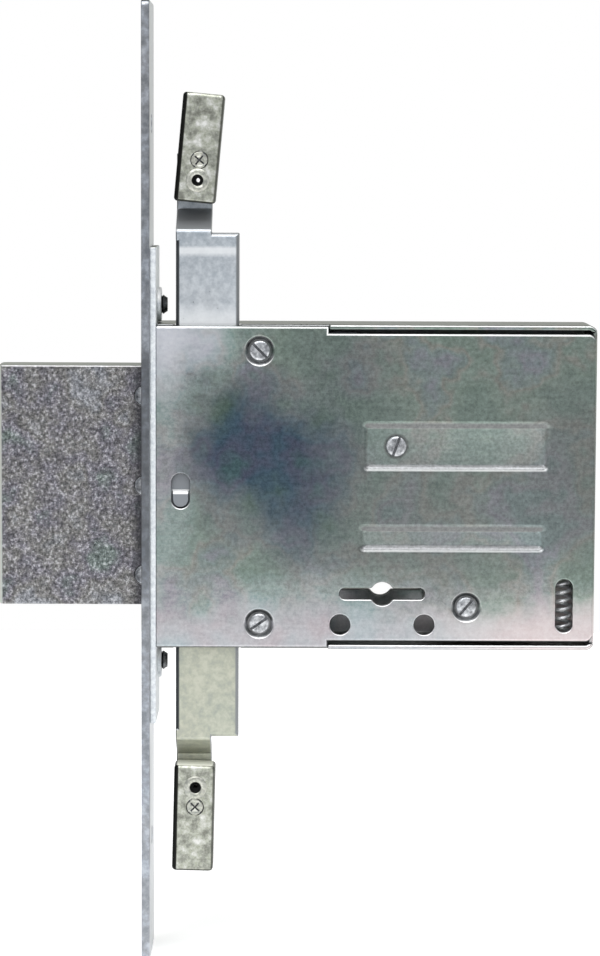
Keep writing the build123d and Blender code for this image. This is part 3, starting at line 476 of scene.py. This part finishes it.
# Slides: tumbled, so even and softly glossy. The lower one came from a bath with a yellow tint.
slide_zinc = plated("barrel zinc on upper slide", "#bcc1c6", "#d3d7db", 1.6, 0.24, 0.36, metallic=0.6)
yellow_zinc = plated(
    "barrel zinc with pale yellow chromate", "#bcbeb4", "#cccdc3", 1.6, 0.28, 0.4, metallic=0.6)
# Turned steel: bright and a little blotchy, as plating is thinner on crests.
turned_steel = plated("zinc plate on turned steel", "#9d9fa2", "#e6e7e9", 1.5, 0.22, 0.36, metallic=0.8)
# Bare blanked steel: warm grey, because it is oiled and not plated.
lever_steel = plated("blanked lever steel", "#8b8880", "#b5b1a6", 0.7, 0.30, 0.45)
# Rolled tube: pale, with a finer grain than the casting round it.
rivet_zinc = plated("zinc on rolled tube rivet", "#b3b4ab", "#d6d6d0", 0.8, 0.25, 0.38, metallic=0.7)
# Painted shade: black with no gloss, so a bore reads as a hole.
black_bore = plated("painted shade in the rivet bores", "#0c0c0d", "#1e1f20", 0.6, 0.6, 0.8, metallic=0.0)
# Painted shade for the screw thread and cross recess: dark roots, lighter crests.
dark_thread = plated("painted shade on screw thread", "#2e2f31", "#8e9093", 0.8, 0.25, 0.4, metallic=0.9)
# Drawn wire: light and smooth, so that it shows in the dark case.
spring_wire = plated("drawn spring wire", "#d5d7d9", "#f6f7f8", 0.4, 0.28, 0.38, metallic=0.5)
# Painted shade: dull grey in the slots, darker than the head but not black.
slot_shade = plated("painted shade in the screw slots", "#4a4c4f", "#8a8c90", 1.3, 0.5, 0.7, metallic=0.4)
print("made", len(bpy.data.materials), "materials")

# %% [markdown]
# Three of them get a second tone by place. The inner plate's tab behind the front window is duller than
# its sheared edge. The upper slide carries a painted highlight band across it, 59 mm up, and is paler where
# it leaves the case. The face plate has painted shade along the case, beside the bolt.

# %% Tones on the inner plate, painted highlight on the upper slide, painted shade on the face plate


def toned(material, colour, shares, axis, start, end):
    """Mixes a colour into a material along one axis: a grey ramp from start to end in mm gives how much."""
    tree = material.node_tree
    shader = tree.nodes["Principled BSDF"]
    before = shader.inputs["Base Color"].links[0].from_socket
    place = add_node(tree, "ShaderNodeTexCoord").outputs["Object"]
    place = add_node(tree, "ShaderNodeSeparateXYZ", {"Vector": place}).outputs[axis]
    share = add_node(tree, "ShaderNodeMapRange", {
        "Value": place, "From Min": mm(start), "From Max": mm(end)}).outputs[0]
    share = add_node(tree, "ShaderNodeValToRGB", {"Fac": share}, stops=shares).outputs[0]
    mixed = add_node(tree, "ShaderNodeMix", {
        "Factor": share, 6: before, 7: colour}, data_type="RGBA").outputs[2]
    tree.links.new(mixed, shader.inputs["Base Color"])
    return tree, shader, mixed


# Painted highlight on the inner plate's upper rounds and a painted olive tone on its top.
painted_edge_highlights(*toned(plate_zinc, "#7f8388", [(0.0, "#000000"), (1.0, "#ffffff")], "X", 3.5, 4.0), metallic=0.3)
# Painted highlight band near 59 mm on the upper slide, over a paler lower end.
SLIDE_HIGHLIGHT_BAND = [
    (0.0, "#f0f0f0"), (0.25, "#707070"), (0.80, "#484848"),
    (0.86, "#e0e0e0"), (0.91, "#e0e0e0"), (0.95, "#000000")]
# Painted shade on the face plate beside the case.
FACE_PLATE_SHADE = [
    (0.0, "#000000"), (0.24, "#606060"), (0.36, "#d0d0d0"),
    (0.76, "#d0d0d0"), (0.80, "#404040"), (1.0, "#000000")]
toned(slide_zinc, "#f7f9fb", SLIDE_HIGHLIGHT_BAND, "Z", 41, 61)
toned(bar_zinc, "#525559", FACE_PLATE_SHADE, "Z", -60, 60)
print("marks", "plate tab", "slide highlight band", "face plate")

# %% [markdown]
# Some faces get painted light and shade by the way they face: a painted reflection on the face plate's
# side towards the case, and painted shade on the slides' sides with a painted highlight on their upper faces.
# The surface's own direction tells such faces apart, so the tone stays on its face from wherever the lock is
# seen.

# %% Painted light and shade by the way a face looks


def faced(material, colour, axis, start, end, share=1.0):
    """Mixes a colour in where the surface's normal goes from start to end along an axis."""
    tree = material.node_tree
    shader = tree.nodes["Principled BSDF"]
    before = shader.inputs["Base Color"].links[0].from_socket
    facing = add_node(tree, "ShaderNodeNewGeometry").outputs["Normal"]
    facing = add_node(tree, "ShaderNodeSeparateXYZ", {"Vector": facing}).outputs[axis]
    amount = add_node(tree, "ShaderNodeMapRange", {
        "Value": facing, "From Min": start, "From Max": end, "To Max": share}).outputs[0]
    mixed = add_node(tree, "ShaderNodeMix", {
        "Factor": amount, 6: before, 7: colour}, data_type="RGBA").outputs[2]
    tree.links.new(mixed, shader.inputs["Base Color"])
    return amount


# Painted reflection: the face plate's side towards the case is lighter.
faced(bar_zinc, "#cccfd2", "X", 0.5, 0.9, 0.6)
# Painted shade on the slides' left and right sides, and a painted highlight on their upper faces.
for material in (slide_zinc, yellow_zinc):
    faced(material, "#3f4245", "X", -0.12, -0.5)
    faced(material, "#85888b", "X", 0.2, 0.6)
    faced(material, "#b0b3b6", "Z", 0.15, 0.5)
print("faced", bar_zinc.name, slide_zinc.name, yellow_zinc.name)

# %% [markdown]
# The bolt is an iron block with zinc over its blasted skin: pits and crests half a millimetre wide, drawn at
# 0.72 mm so that they show. Colour alone would look printed, so the grain also moves the surface a little.
# Where the block slides through the face plate it gets painted shade. Its left chamfer gets a painted
# reflection and its top a painted pale olive tone.

# %% Blasted bolt skin
bolt_iron, tree, shader, place = blank("zinc over blasted iron")
crest = add_node(tree, "ShaderNodeTexNoise", {
    "Vector": place, "Scale": 1 / mm(0.72), "Detail": 3.0, "Roughness": 0.72}).outputs["Fac"]
tint = add_node(tree, "ShaderNodeTexNoise", {
    "Vector": place, "Scale": 1 / mm(9), "Detail": 3.0}).outputs["Fac"]
skin_tone = add_node(tree, "ShaderNodeValToRGB", {
    "Fac": crest}, stops=[(0.33, "#5b5c5f"), (0.50, "#9b9c9f"), (0.67, "#d9d9db")]).outputs[0]
TINT_TONES = [(0.32, "#76857d"), (0.44, "#7e7a83"), (0.56, "#88857f"), (0.68, "#999b9f")]
tint_tone = add_node(tree, "ShaderNodeValToRGB", {"Fac": tint}, stops=TINT_TONES).outputs[0]
skin_tone = add_node(tree, "ShaderNodeMix", {
    "Factor": 0.8, 6: skin_tone, 7: tint_tone}, data_type="RGBA", blend_type="OVERLAY").outputs[2]
bolt_x = add_node(tree, "ShaderNodeSeparateXYZ", {"Vector": place}).outputs["X"]
# Painted shade where the bolt enters the face plate.
forend_shade = add_node(tree, "ShaderNodeMapRange", {
    "Value": bolt_x, "From Min": mm(-5.4), "From Max": mm(-2.8), "To Max": 0.7},
    interpolation_type="SMOOTHSTEP").outputs[0]
skin_tone = add_node(tree, "ShaderNodeMix", {
    "Factor": forend_shade, 6: skin_tone, 7: "#333337"}, data_type="RGBA").outputs[2]
# Painted highlight on the upper rounds and a painted pale olive tone on the top.
painted_edge_highlights(tree, shader, skin_tone, upper="#b4b7af", metallic=0.9, amount=0.5)
# Painted reflection: the left chamfer is lighter.
faced(bolt_iron, "#c6cac5", "X", -0.4, -0.65)
shader.inputs["Roughness"].default_value = 0.42
crests = add_node(tree, "ShaderNodeBump", {"Height": crest, "Strength": 0.5, "Distance": mm(0.07)})
tree.links.new(crests.outputs[0], shader.inputs["Normal"])
print("made", bolt_iron.name)

# %% [markdown]
# The connectors are zinc die castings, plated and tumbled. Tumbling brightens the flat faces in blotches
# two or three millimetres wide. The rounds along the sides and below get painted shade, and the upper faces
# a painted highlight that is less metallic. The surface's own direction tells them apart.

# %% Tumbled die casting
cast_zinc, tree, shader, place = blank("tumbled zinc die casting")
blotch = add_node(tree, "ShaderNodeTexNoise", {
    "Vector": place, "Scale": 1 / mm(2.4), "Detail": 4.0, "Roughness": 0.65}).outputs["Fac"]
fine = add_node(tree, "ShaderNodeTexNoise", {
    "Vector": place, "Scale": 1 / mm(0.7), "Detail": 2.0, "Roughness": 0.6}).outputs["Fac"]
CAST_TONES = [(0.34, "#93958a"), (0.46, "#bbbdb3"), (0.58, "#cfd0cb"), (0.70, "#e6e6e4")]
body_tone = add_node(tree, "ShaderNodeValToRGB", {"Fac": blotch}, stops=CAST_TONES).outputs[0]
fine_tone = add_node(tree, "ShaderNodeValToRGB", {
    "Fac": fine}, stops=[(0.35, "#6a6a6a"), (0.65, "#949494")]).outputs[0]
body_tone = add_node(tree, "ShaderNodeMix", {
    "Factor": 0.6, 6: body_tone, 7: fine_tone}, data_type="RGBA", blend_type="OVERLAY").outputs[2]
tree.links.new(body_tone, shader.inputs["Base Color"])
# Painted shade on the sides and on the faces below.
faced(cast_zinc, "#171815", "X", -0.02, -0.2)
faced(cast_zinc, "#2f312b", "X", 0.45, 0.70, 0.85)
faced(cast_zinc, "#2f312b", "Z", -0.35, -0.6)
# Painted highlight on the upper faces.
painted_top_share = faced(cast_zinc, "#f6f7ea", "Z", 0.93, 0.98)
dull = add_node(tree, "ShaderNodeMapRange", {"Value": painted_top_share, "To Min": 0.75, "To Max": 0.05}).outputs[0]
tree.links.new(dull, shader.inputs["Metallic"])
rough = add_node(tree, "ShaderNodeMapRange", {"Value": blotch, "To Min": 0.30, "To Max": 0.5}).outputs[0]
tree.links.new(rough, shader.inputs["Roughness"])
dents = add_node(tree, "ShaderNodeBump", {"Height": blotch, "Strength": 0.35, "Distance": mm(0.15)})
tree.links.new(dents.outputs[0], shader.inputs["Normal"])
print("made", cast_zinc.name)

# %% [markdown]
# ## Worn edges
# Sheared sheet, sawn bar and castings never have knife edges. Shearing and plating round them by a few
# tenths of a millimetre, and that thin round mirrors the soft box above as the bright lines of the
# photograph. So each outer piece is copied from its solid, merged, cleaned of the flat triangles' seams
# and bevelled. Normals weighted by area keep the flats flat beside their rounds.

# %% Helpers for selecting, smoothing and handing over


def only(obj):
    """Deselects everything and selects one object."""
    bpy.ops.object.select_all(action="DESELECT")
    obj.select_set(True)
    bpy.context.view_layer.objects.active = obj


def apply_all(obj):
    """Applies every modifier of the piece in order."""
    only(obj)
    for modifier in list(obj.modifiers):
        bpy.ops.object.modifier_apply(modifier=modifier.name)


def smooth_flats(obj, angle=50):
    """Smooth shading below the angle, with flat faces kept flat."""
    only(obj)
    bpy.ops.object.shade_smooth_by_angle(angle=math.radians(angle))
    weigh = obj.modifiers.new("weigh", "WEIGHTED_NORMAL")
    weigh.keep_sharp = True
    weigh.weight = 100
    apply_all(obj)


def finish_piece(obj, body, slot, material, *nodes):
    """Gives a finished piece its material and body, and hides the nodes that it stands for. The slot is not
    used.
    """
    if not obj.data.materials or obj.data.materials[0] != material:
        obj.data.materials.clear()
        obj.data.materials.append(material)
    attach(obj, body)
    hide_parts(*nodes)


# %% [markdown]
# The bevel keeps even widths and doesn't slide along the edges beside it. With sliding on, a corner of a rib
# follows a long flat edge and leaves the sheet's plane.

# %% Copies with rounded edges
SHARP_ANGLE = 32
FLAT_ANGLE = 0.4
JOIN_DISTANCE = mm(0.002)


def merged_copy(node, name):
    """A copy of a solid whose loose triangles are joined."""
    piece = bpy.data.objects.new(name, NODES[node].data.copy())
    bpy.context.scene.collection.objects.link(piece)
    only(piece)
    bpy.ops.object.mode_set(mode="EDIT")
    bpy.ops.mesh.customdata_custom_splitnormals_clear()
    bpy.ops.mesh.select_all(action="SELECT")
    bpy.ops.mesh.remove_doubles(threshold=JOIN_DISTANCE)
    bpy.ops.object.mode_set(mode="OBJECT")
    return piece


def bevel_edges(piece, width, segments, chosen, angle=SHARP_ANGLE):
    """Bevels the edges of at least this angle whose middle, in mm, is chosen."""
    only(piece)
    bpy.ops.object.mode_set(mode="EDIT")
    bpy.ops.mesh.select_mode(type="EDGE")
    bpy.ops.mesh.select_all(action="DESELECT")
    bpy.ops.mesh.edges_select_sharp(sharpness=math.radians(angle))
    bpy.ops.object.mode_set(mode="OBJECT")
    points = [vertex.co / MM for vertex in piece.data.vertices]
    for edge in piece.data.edges:
        if edge.select:
            middle = (points[edge.vertices[0]] + points[edge.vertices[1]]) / 2
            edge.select = chosen(middle)
    # A face left selected would select its edges again on the way into edit mode.
    for face in piece.data.polygons:
        face.select = False
    bpy.ops.object.mode_set(mode="EDIT")
    bpy.ops.mesh.bevel(
        offset=mm(width), segments=segments, affect="EDGES", clamp_overlap=False, loop_slide=False)
    bpy.ops.object.mode_set(mode="OBJECT")


def near(*spots):
    """A test whether a point lies within reach of one of the spots (x, y, z, reach), all in mm."""
    return lambda point: any((point - Vector(spot[:3])).length < spot[3] for spot in spots)


def edged(node, name, width, body, slot, material, segments=2, apart=()):
    """A copy of a solid with its sharp edges rounded, shown in its place. Each row of apart picks edges by a
    test and gives them their own width, segments and perhaps least angle, or leaves them be at width 0."""
    piece = merged_copy(node, name)
    bpy.ops.object.mode_set(mode="EDIT")
    bpy.ops.mesh.select_all(action="SELECT")
    bpy.ops.mesh.dissolve_limited(angle_limit=math.radians(FLAT_ANGLE))
    bpy.ops.object.mode_set(mode="OBJECT")
    bevel_edges(piece, width, segments, lambda point: not any(row[0](point) for row in apart))
    for picked, own_width, own_segments, *least_angle in apart:
        if own_width:
            bevel_edges(piece, own_width, own_segments, picked, *least_angle)
    smooth_flats(piece)
    print(name, len(piece.data.polygons), "faces")
    finish_piece(piece, body, slot, material, node)


# %% [markdown]
# Some rims need a width of their own. A riveted or drilled rim is nearly sharp. A punch draws the sheet in
# round each opening of the cover, so those rims are rounder than its sheared edges, and the rims of the
# pressed ribs are rounder still. A rib's rim turns by hardly 32 degrees, so its edges are picked from 22 on.
# The corners where the cover steps back, the back rims of the face plate's holes and the lower edges of the
# ribs stay as they are, because they lie too close to other edges for a clean round.

# %% Places of the rims
RIVET_RADIUS = 2.5
RIVET_X = (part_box("bolt_rivets")[0].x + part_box("bolt_rivets")[1].x) / 2 / MM
RIVET_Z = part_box("bolt_rivets")[1].z / MM - RIVET_RADIUS
BOLT_SIDE = 6.2
# For each connector: its pivot, its lean in degrees, and the way its rod leaves.
LINKS = {
    "upper": ((11.7, 76.0), 5.2, (math.sin(math.radians(5.2)), math.cos(math.radians(5.2)))),
    "lower": ((11.3, -76.0), 1.3, (-math.sin(math.radians(1.3)), -math.cos(math.radians(1.3)))),
}
CLAMP_OFFSET = 5
ROD_END = 21.4
OPENINGS = [
    (7.6, -0.7, 5.3), (57.5, -26.6, 12.0), (103.0, -29.3, 8.5), (47.1, -34.3, 3.1), (68.0, -34.3, 3.1)]


def among_ribs(point):
    """Whether a point is in the part of the cover that holds the two ribs."""
    return 48 < point.x < 100 and abs(point.z) < 19.5


def rib_rim(point):
    """Whether an edge is where the cover's front turns down into a rib."""
    return among_ribs(point) and point.y < -10.7


def inside_rib(point):
    """Whether an edge is lower down in a rib."""
    return among_ribs(point) and point.y > -10.7


def link_rims(side):
    """A test for the rims of a connector's holes: rivet and clamp screw on both sides, and the socket."""
    (x, z), _, (out_x, out_z) = LINKS[side]
    across = [(x + out * out_x, y, z + out * out_z, 3.2) for out in (0, CLAMP_OFFSET) for y in (-9.05, -0.55)]
    return near(*across, (x + ROD_END * out_x, -4.8, z + ROD_END * out_z, 3.4))


COVER_EDGES = [
    (near(*[(x, COVER_FRONT, z, reach) for x, z, reach in OPENINGS]), 0.4, 3),
    (near((44.4, -10.0, 39.5, 3.0), (44.4, -10.0, -39.5, 3.0)), 0, 0),
    (rib_rim, 0.6, 4, 22), (inside_rib, 0, 0),
]
BOLT_RIMS = [(RIVET_X, y, z, 3.0) for z in (RIVET_Z, 0, -RIVET_Z) for y in (-BOLT_SIDE, BOLT_SIDE)]
BOLT_EDGES = [(near(*BOLT_RIMS), 0.12, 1)]
FOREND_EDGES = [(near(*[(0, 0, z, 3.8) for z in (-90, -45, 45, 90)]), 0, 0)]
print("bolt rivets at x", round(RIVET_X, 2), "and z", round(RIVET_Z, 2))

# %% [markdown]
# The widths follow the way each piece was made: 0.2 mm on sheared sheet, 0.3 mm on drawn bar, 0.45 mm on
# the folds of the tray, and almost a millimetre on the tumbled castings.

# %% Rounded pieces
edged("forend", "face_plate", 0.3, "case", "zinc_plate", bar_zinc, 2, FOREND_EDGES)
edged("mounting_plate", "inner_plate", 0.25, "case", "zinc_plate", plate_zinc)
edged("case_tray", "folded_tray", 0.45, "case", "zinc_sheet", sheet_zinc, 3)
edged("case_cover", "pressed_cover", 0.2, "case", "zinc_sheet", sheet_zinc, 2, COVER_EDGES)
edged("deadbolt_block", "bolt_head", 0.4, "bolt", "bolt_steel", bolt_iron, 3, BOLT_EDGES)
for side, finish in (("upper", slide_zinc), ("lower", yellow_zinc)):
    edged(f"{side}_slide", f"{side}_rod_bar", 0.3, f"{side}_rod_slide", "slide_steel", finish)
for side in LINKS:
    rims = [(link_rims(side), 0.12, 1)]
    edged(f"{side}_connector", f"{side}_rod_block", 0.9, f"{side}_link", "connector_zinc", cast_zinc, 4, rims)

# %% [markdown]
# ## Turned parts
# Screws, posts and rivets come off a lathe, so they are drawn the same way: half a profile, extruded point
# by point from one vertex, then spun a full turn. `turned` draws along local +Z, and `set_in` turns that
# axis to the side of the lock that the part faces.

# %% Lathe helpers
LATHE_STEPS = 40
LATHE_JOIN = mm(0.004)
COVER_SIDE = Matrix.Rotation(math.radians(90), 4, "X")
BACK_SIDE = Matrix.Rotation(math.radians(-90), 4, "X")
DOOR_EDGE = Matrix.Rotation(math.radians(-90), 4, "Y")


def turned(name, profile):
    """A lathe piece about local Z from (radius, height) points in millimetres."""
    bpy.ops.object.select_all(action="DESELECT")
    bpy.ops.mesh.primitive_plane_add(size=mm(1), location=(0, 0, 0))
    piece = bpy.context.object
    piece.name = name
    bpy.ops.object.mode_set(mode="EDIT")
    bpy.ops.mesh.select_mode(type="VERT")
    bpy.ops.mesh.select_all(action="SELECT")
    bpy.ops.mesh.merge(type="CENTER")
    bpy.ops.transform.translate(value=(mm(profile[0][0]), 0, mm(profile[0][1])))
    for (r0, z0), (r1, z1) in zip(profile, profile[1:]):
        step = (mm(r1 - r0), 0, mm(z1 - z0))
        bpy.ops.mesh.extrude_region_move(TRANSFORM_OT_translate={"value": step})
    bpy.ops.mesh.select_all(action="SELECT")
    bpy.ops.mesh.spin(steps=LATHE_STEPS, angle=2 * math.pi, center=(0, 0, 0), axis=(0, 0, 1))
    bpy.ops.mesh.select_all(action="SELECT")
    bpy.ops.mesh.remove_doubles(threshold=LATHE_JOIN)
    bpy.ops.mesh.normals_make_consistent(inside=False)
    bpy.ops.object.mode_set(mode="OBJECT")
    return piece


def set_in(piece, name, side, place, spin=0):
    """A copy of a turned piece with its own mesh, placed on a side of the lock."""
    copy = bpy.data.objects.new(name, piece.data.copy())
    bpy.context.scene.collection.objects.link(copy)
    copy.data.transform(Matrix.Translation(mm(*place)) @ side @ Matrix.Rotation(math.radians(spin), 4, "Z"))
    smooth_flats(copy, 35)
    return copy


# %% [markdown]
# A driver slot is sawn or punched into the finished head. A thin block is subtracted for each, and the
# slot's floor and walls get a second material of painted shade.

# %% Driver slots


def in_slot_face(face, angles, width, depth):
    """Whether a face of a patterned screw lies in one of its slots."""
    x, y, z = face.center / MM
    across = min(abs(y * math.cos(math.radians(a)) - x * math.sin(math.radians(a))) for a in angles)
    return -depth - 0.01 < z < -0.01 and across < width / 2 + 0.01 and math.hypot(x, y) < 2.6


def slotted(piece, angles, length, width, depth, metal, shade_finish):
    """Cuts driver slots into a turned head, whose face is at z = 0, and gives them painted shade."""
    for angle in angles:
        bpy.ops.object.select_all(action="DESELECT")
        bpy.ops.mesh.primitive_cube_add(size=1, location=(0, 0, 0))
        blade = bpy.context.object
        blade.data.transform(Matrix.Diagonal((mm(length), mm(width), mm(2 * depth), 1)))
        blade.data.transform(Matrix.Rotation(math.radians(angle), 4, "Z"))
        slot = piece.modifiers.new("slot", "BOOLEAN")
        slot.object = blade
        slot.operation = "DIFFERENCE"
        slot.solver = "EXACT"
        apply_all(piece)
        bpy.data.objects.remove(blade)
    piece.data.materials.append(metal)
    piece.data.materials.append(shade_finish)
    for face in piece.data.polygons:
        face.material_index = int(in_slot_face(face, angles, width, depth))
    print(piece.name, "slot faces", sum(face.material_index for face in piece.data.polygons))


# %% [markdown]
# Four cheese-head screws hold the cover. The head is low with a rounded rim and one slot, and each was
# stopped at its own angle by the screwdriver. Three sit in dimples, and the third of the list on the floor
# of the upper rib.

# %% Cover screws
SCREW_FACE_Y = -10.65
pattern = turned("screw_pattern", [
    (0, -7.9), (1.1, -7.9), (1.5, -7.4), (1.5, -0.9), (2.35, -0.9), (2.5, -0.75), (2.5, -0.35), (2.4, -0.16),
    (2.15, -0.03), (1.8, 0), (0, 0),
])
slotted(pattern, [0], 6.0, 0.65, 0.4, turned_steel, slot_shade)
for number, (x, z, angle) in enumerate(COVER_SCREWS, 1):
    screw = set_in(pattern, f"cover_screw_{number}", COVER_SIDE, (x, SCREW_FACE_Y, z), angle)
    finish_piece(screw, "case", "fastener_steel", turned_steel, "cover_screws")
bpy.data.objects.remove(pattern)
print("cover screws", len(COVER_SCREWS))

# %% [markdown]
# Two countersunk screws join the face plate to the inner plate. Their heads lie flush in the front with a
# cross recess, and their threaded tips stand out of the bosses at the back, where the photograph shows
# them above and below the case. The thread is drawn as rings with the pitch of M5.

# %% Face plate screws
SCREW_FACE_X = -2.1
THREAD = [(2.42 if step % 2 else 2.05, -2.3 - 0.4 * step) for step in range(9)]
pattern = turned("joint_screw_pattern", [
    (0, 0), (4.15, 0), (4.35, -0.1), (2.45, -2.0), *THREAD, (1.7, -6.1), (0, -6.1)])
slotted(pattern, [0, 90], 4.4, 0.8, 0.9, turned_steel, dark_thread)
# The thread below the head gets the same painted shade as the cross recess.
for face in pattern.data.polygons:
    face.material_index = max(face.material_index, int(face.center.z < mm(-2.05)))
for name, z, angle in (("upper_joint_screw", 45.0, 20), ("lower_joint_screw", -45.0, -15)):
    screw = set_in(pattern, name, DOOR_EDGE, (SCREW_FACE_X, 0, z), angle)
    finish_piece(screw, "case", "fastener_steel", turned_steel, "forend_screws")
bpy.data.objects.remove(pattern)
print("face plate screws", 2, "thread rings", len(THREAD))

# %% [markdown]
# Three rivets pin the bolt to its carriage. The riveting punch leaves a shallow dish in each end with a
# low rim, and the lower left of that rim faces the light. So the profile is a dish and not a plain disc.

# %% Bolt rivets
pattern = turned("rivet_pattern", [
    (0, 5.78), (1.55, 5.78), (1.85, 5.86), (2.2, 6.1), (2.35, 6.14), (2.45, 6.0),
    (2.45, -6.0), (2.35, -6.14), (2.2, -6.1), (1.85, -5.86), (1.55, -5.78), (0, -5.78)])
for number, z in enumerate((RIVET_Z, 0, -RIVET_Z), 1):
    rivet = set_in(pattern, f"bolt_rivet_{number}", COVER_SIDE, (RIVET_X, 0, z))
    finish_piece(rivet, "bolt", "fastener_steel", turned_steel, "bolt_rivets")
bpy.data.objects.remove(pattern)
print("bolt rivets", number)

# %% [markdown]
# Each connector turns on a hollow rivet with a domed lip, and a cross-headed screw beside it clamps the
# rod. The rivet stays with the slide while the screw turns with the connector.

# %% Connector rivets and clamp screws
RIVET_FACE_Y, CLAMP_FACE_Y = -9.15, -9.0
hollow = turned("hollow_rivet_pattern", [
    (1.45, 0.05), (1.42, -0.4), (1.40, -1.6), (0.55, -2.2), (0.55, -10.4), (1.40, -10.9), (1.6, -11.3),
    (1.9, -11.45), (2.6, -11.45), (2.88, -11.32), (2.88, -11.18), (2.38, -11.15), (2.38, 0.0), (2.88, 0.02),
    (2.75, 0.1), (2.45, 0.2), (2.1, 0.24), (1.75, 0.2), (1.45, 0.05),
])
hollow.data.materials.append(rivet_zinc)
hollow.data.materials.append(black_bore)
# The bore gets painted shade from just inside one lip to just inside the other.
for face in hollow.data.polygons:
    inside = math.hypot(face.center.x, face.center.y) < mm(1.5)
    face.material_index = int(inside and mm(-11.0) < face.center.z < mm(-0.1))
clamp = turned("clamp_screw_pattern", [
    (0, -8.35), (1.6, -8.35), (2.08, -7.9), (2.08, -0.2), (2.0, -0.06), (1.85, 0.0), (1.5, 0.0), (1.3, -0.12),
    (1.1, -0.12), (0.9, 0), (0, 0)])
slotted(clamp, [0, 90], 2.6, 0.4, 0.8, rivet_zinc, slot_shade)
for side, ((x, z), lean, (out_x, out_z)) in LINKS.items():
    rivet = set_in(hollow, f"{side}_hollow_rivet", COVER_SIDE, (x, RIVET_FACE_Y, z))
    finish_piece(rivet, f"{side}_rod_slide", "fastener_steel", rivet_zinc, f"{side}_connector_rivet")
    clamp_place = (x + CLAMP_OFFSET * out_x, CLAMP_FACE_Y, z + CLAMP_OFFSET * out_z)
    screw = set_in(clamp, f"{side}_cross_screw", COVER_SIDE, clamp_place, 45 + lean)
    finish_piece(screw, f"{side}_link", "fastener_steel", rivet_zinc, f"{side}_clamp_screw")
bpy.data.objects.remove(hollow)
bpy.data.objects.remove(clamp)
print("links", list(LINKS))

# %% [markdown]
# Four posts hold tray and cover apart. Each is bored for its cover screw and riveted through the tray: the
# shoulder sits inside, and outside the end shows a ring and the dent of the riveting punch.

# %% Posts riveted through the tray
TRAY_BACK = 10.75
POSTS = {
    "bolt_guide_posts": [("upper_guide_post", 27.2, 34.1, 3.8), ("lower_guide_post", 27.2, -34.1, 3.8)],
    "carriage_guide_post": [("carriage_post", 61.2, 10.4, 3.0)],
    "lever_pivot_post": [("pivot_post", 78.9, -29.8, 3.0)],
}
for node, members in POSTS.items():
    for name, x, z, radius in members:
        raw = turned(name + "_pattern", [
            (0, -0.3), (0.7, -0.25), (1.15, -0.02), (1.95, 0), (2.18, -0.18), (2.18, -1.5), (radius, -1.5),
            (radius, -18.8), (radius - 0.2, -19.0), (1.55, -19.0), (1.55, -12.0), (0, -12.0)])
        post = set_in(raw, name, BACK_SIDE, (x, TRAY_BACK, z))
        finish_piece(post, "case", "fastener_steel", turned_steel, node)
        bpy.data.objects.remove(raw)
print("posts", sum(len(members) for members in POSTS.values()))

# %% [markdown]
# ## Springs
# A wire coil pushes the catch lever's tail up, and flat strips press the thin levers down. Each is a smoothed
# copy of its solid with its own mesh. The table gives each its held end and the share that it keeps: the coil
# a twelfth less, as the tail comes down 1.4 mm, and the strips far less, as they only bend a little. Nothing
# here presses them together.

# %% Springs
SPRINGS = {"catch_spring": ("coil_spring", -39.35, 0.92), "lever_springs": ("flat_springs", 26.0, 0.985)}
for node, (name, held_z, keep) in SPRINGS.items():
    spring = merged_copy(node, name)
    smooth_flats(spring)
    finish_piece(spring, "case", "spring_steel", spring_wire, node)
    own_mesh(spring)
print("springs", len(SPRINGS))

# %% [markdown]
# ## The solids that stay
# The pieces inside keep the solid's own shape: the keyhole and the windows show little more than their
# colour and gloss.

# %% Finishes of the kept solids
KEPT = {
    turned_steel: ["bolt_stump", "upper_slide_pin", "lower_slide_pin", "lever_spacers", "spring_anchor"],
    bar_zinc: ["bolt_carriage"],
    lever_steel: ["catch_lever"] + [f"lever_{n}" for n in range(1, 6)],
}
for material, names in KEPT.items():
    for name in names:
        NODES[name].data.materials.clear()
        NODES[name].data.materials.append(material)
print("kept", sum(len(names) for names in KEPT.values()), "solids")
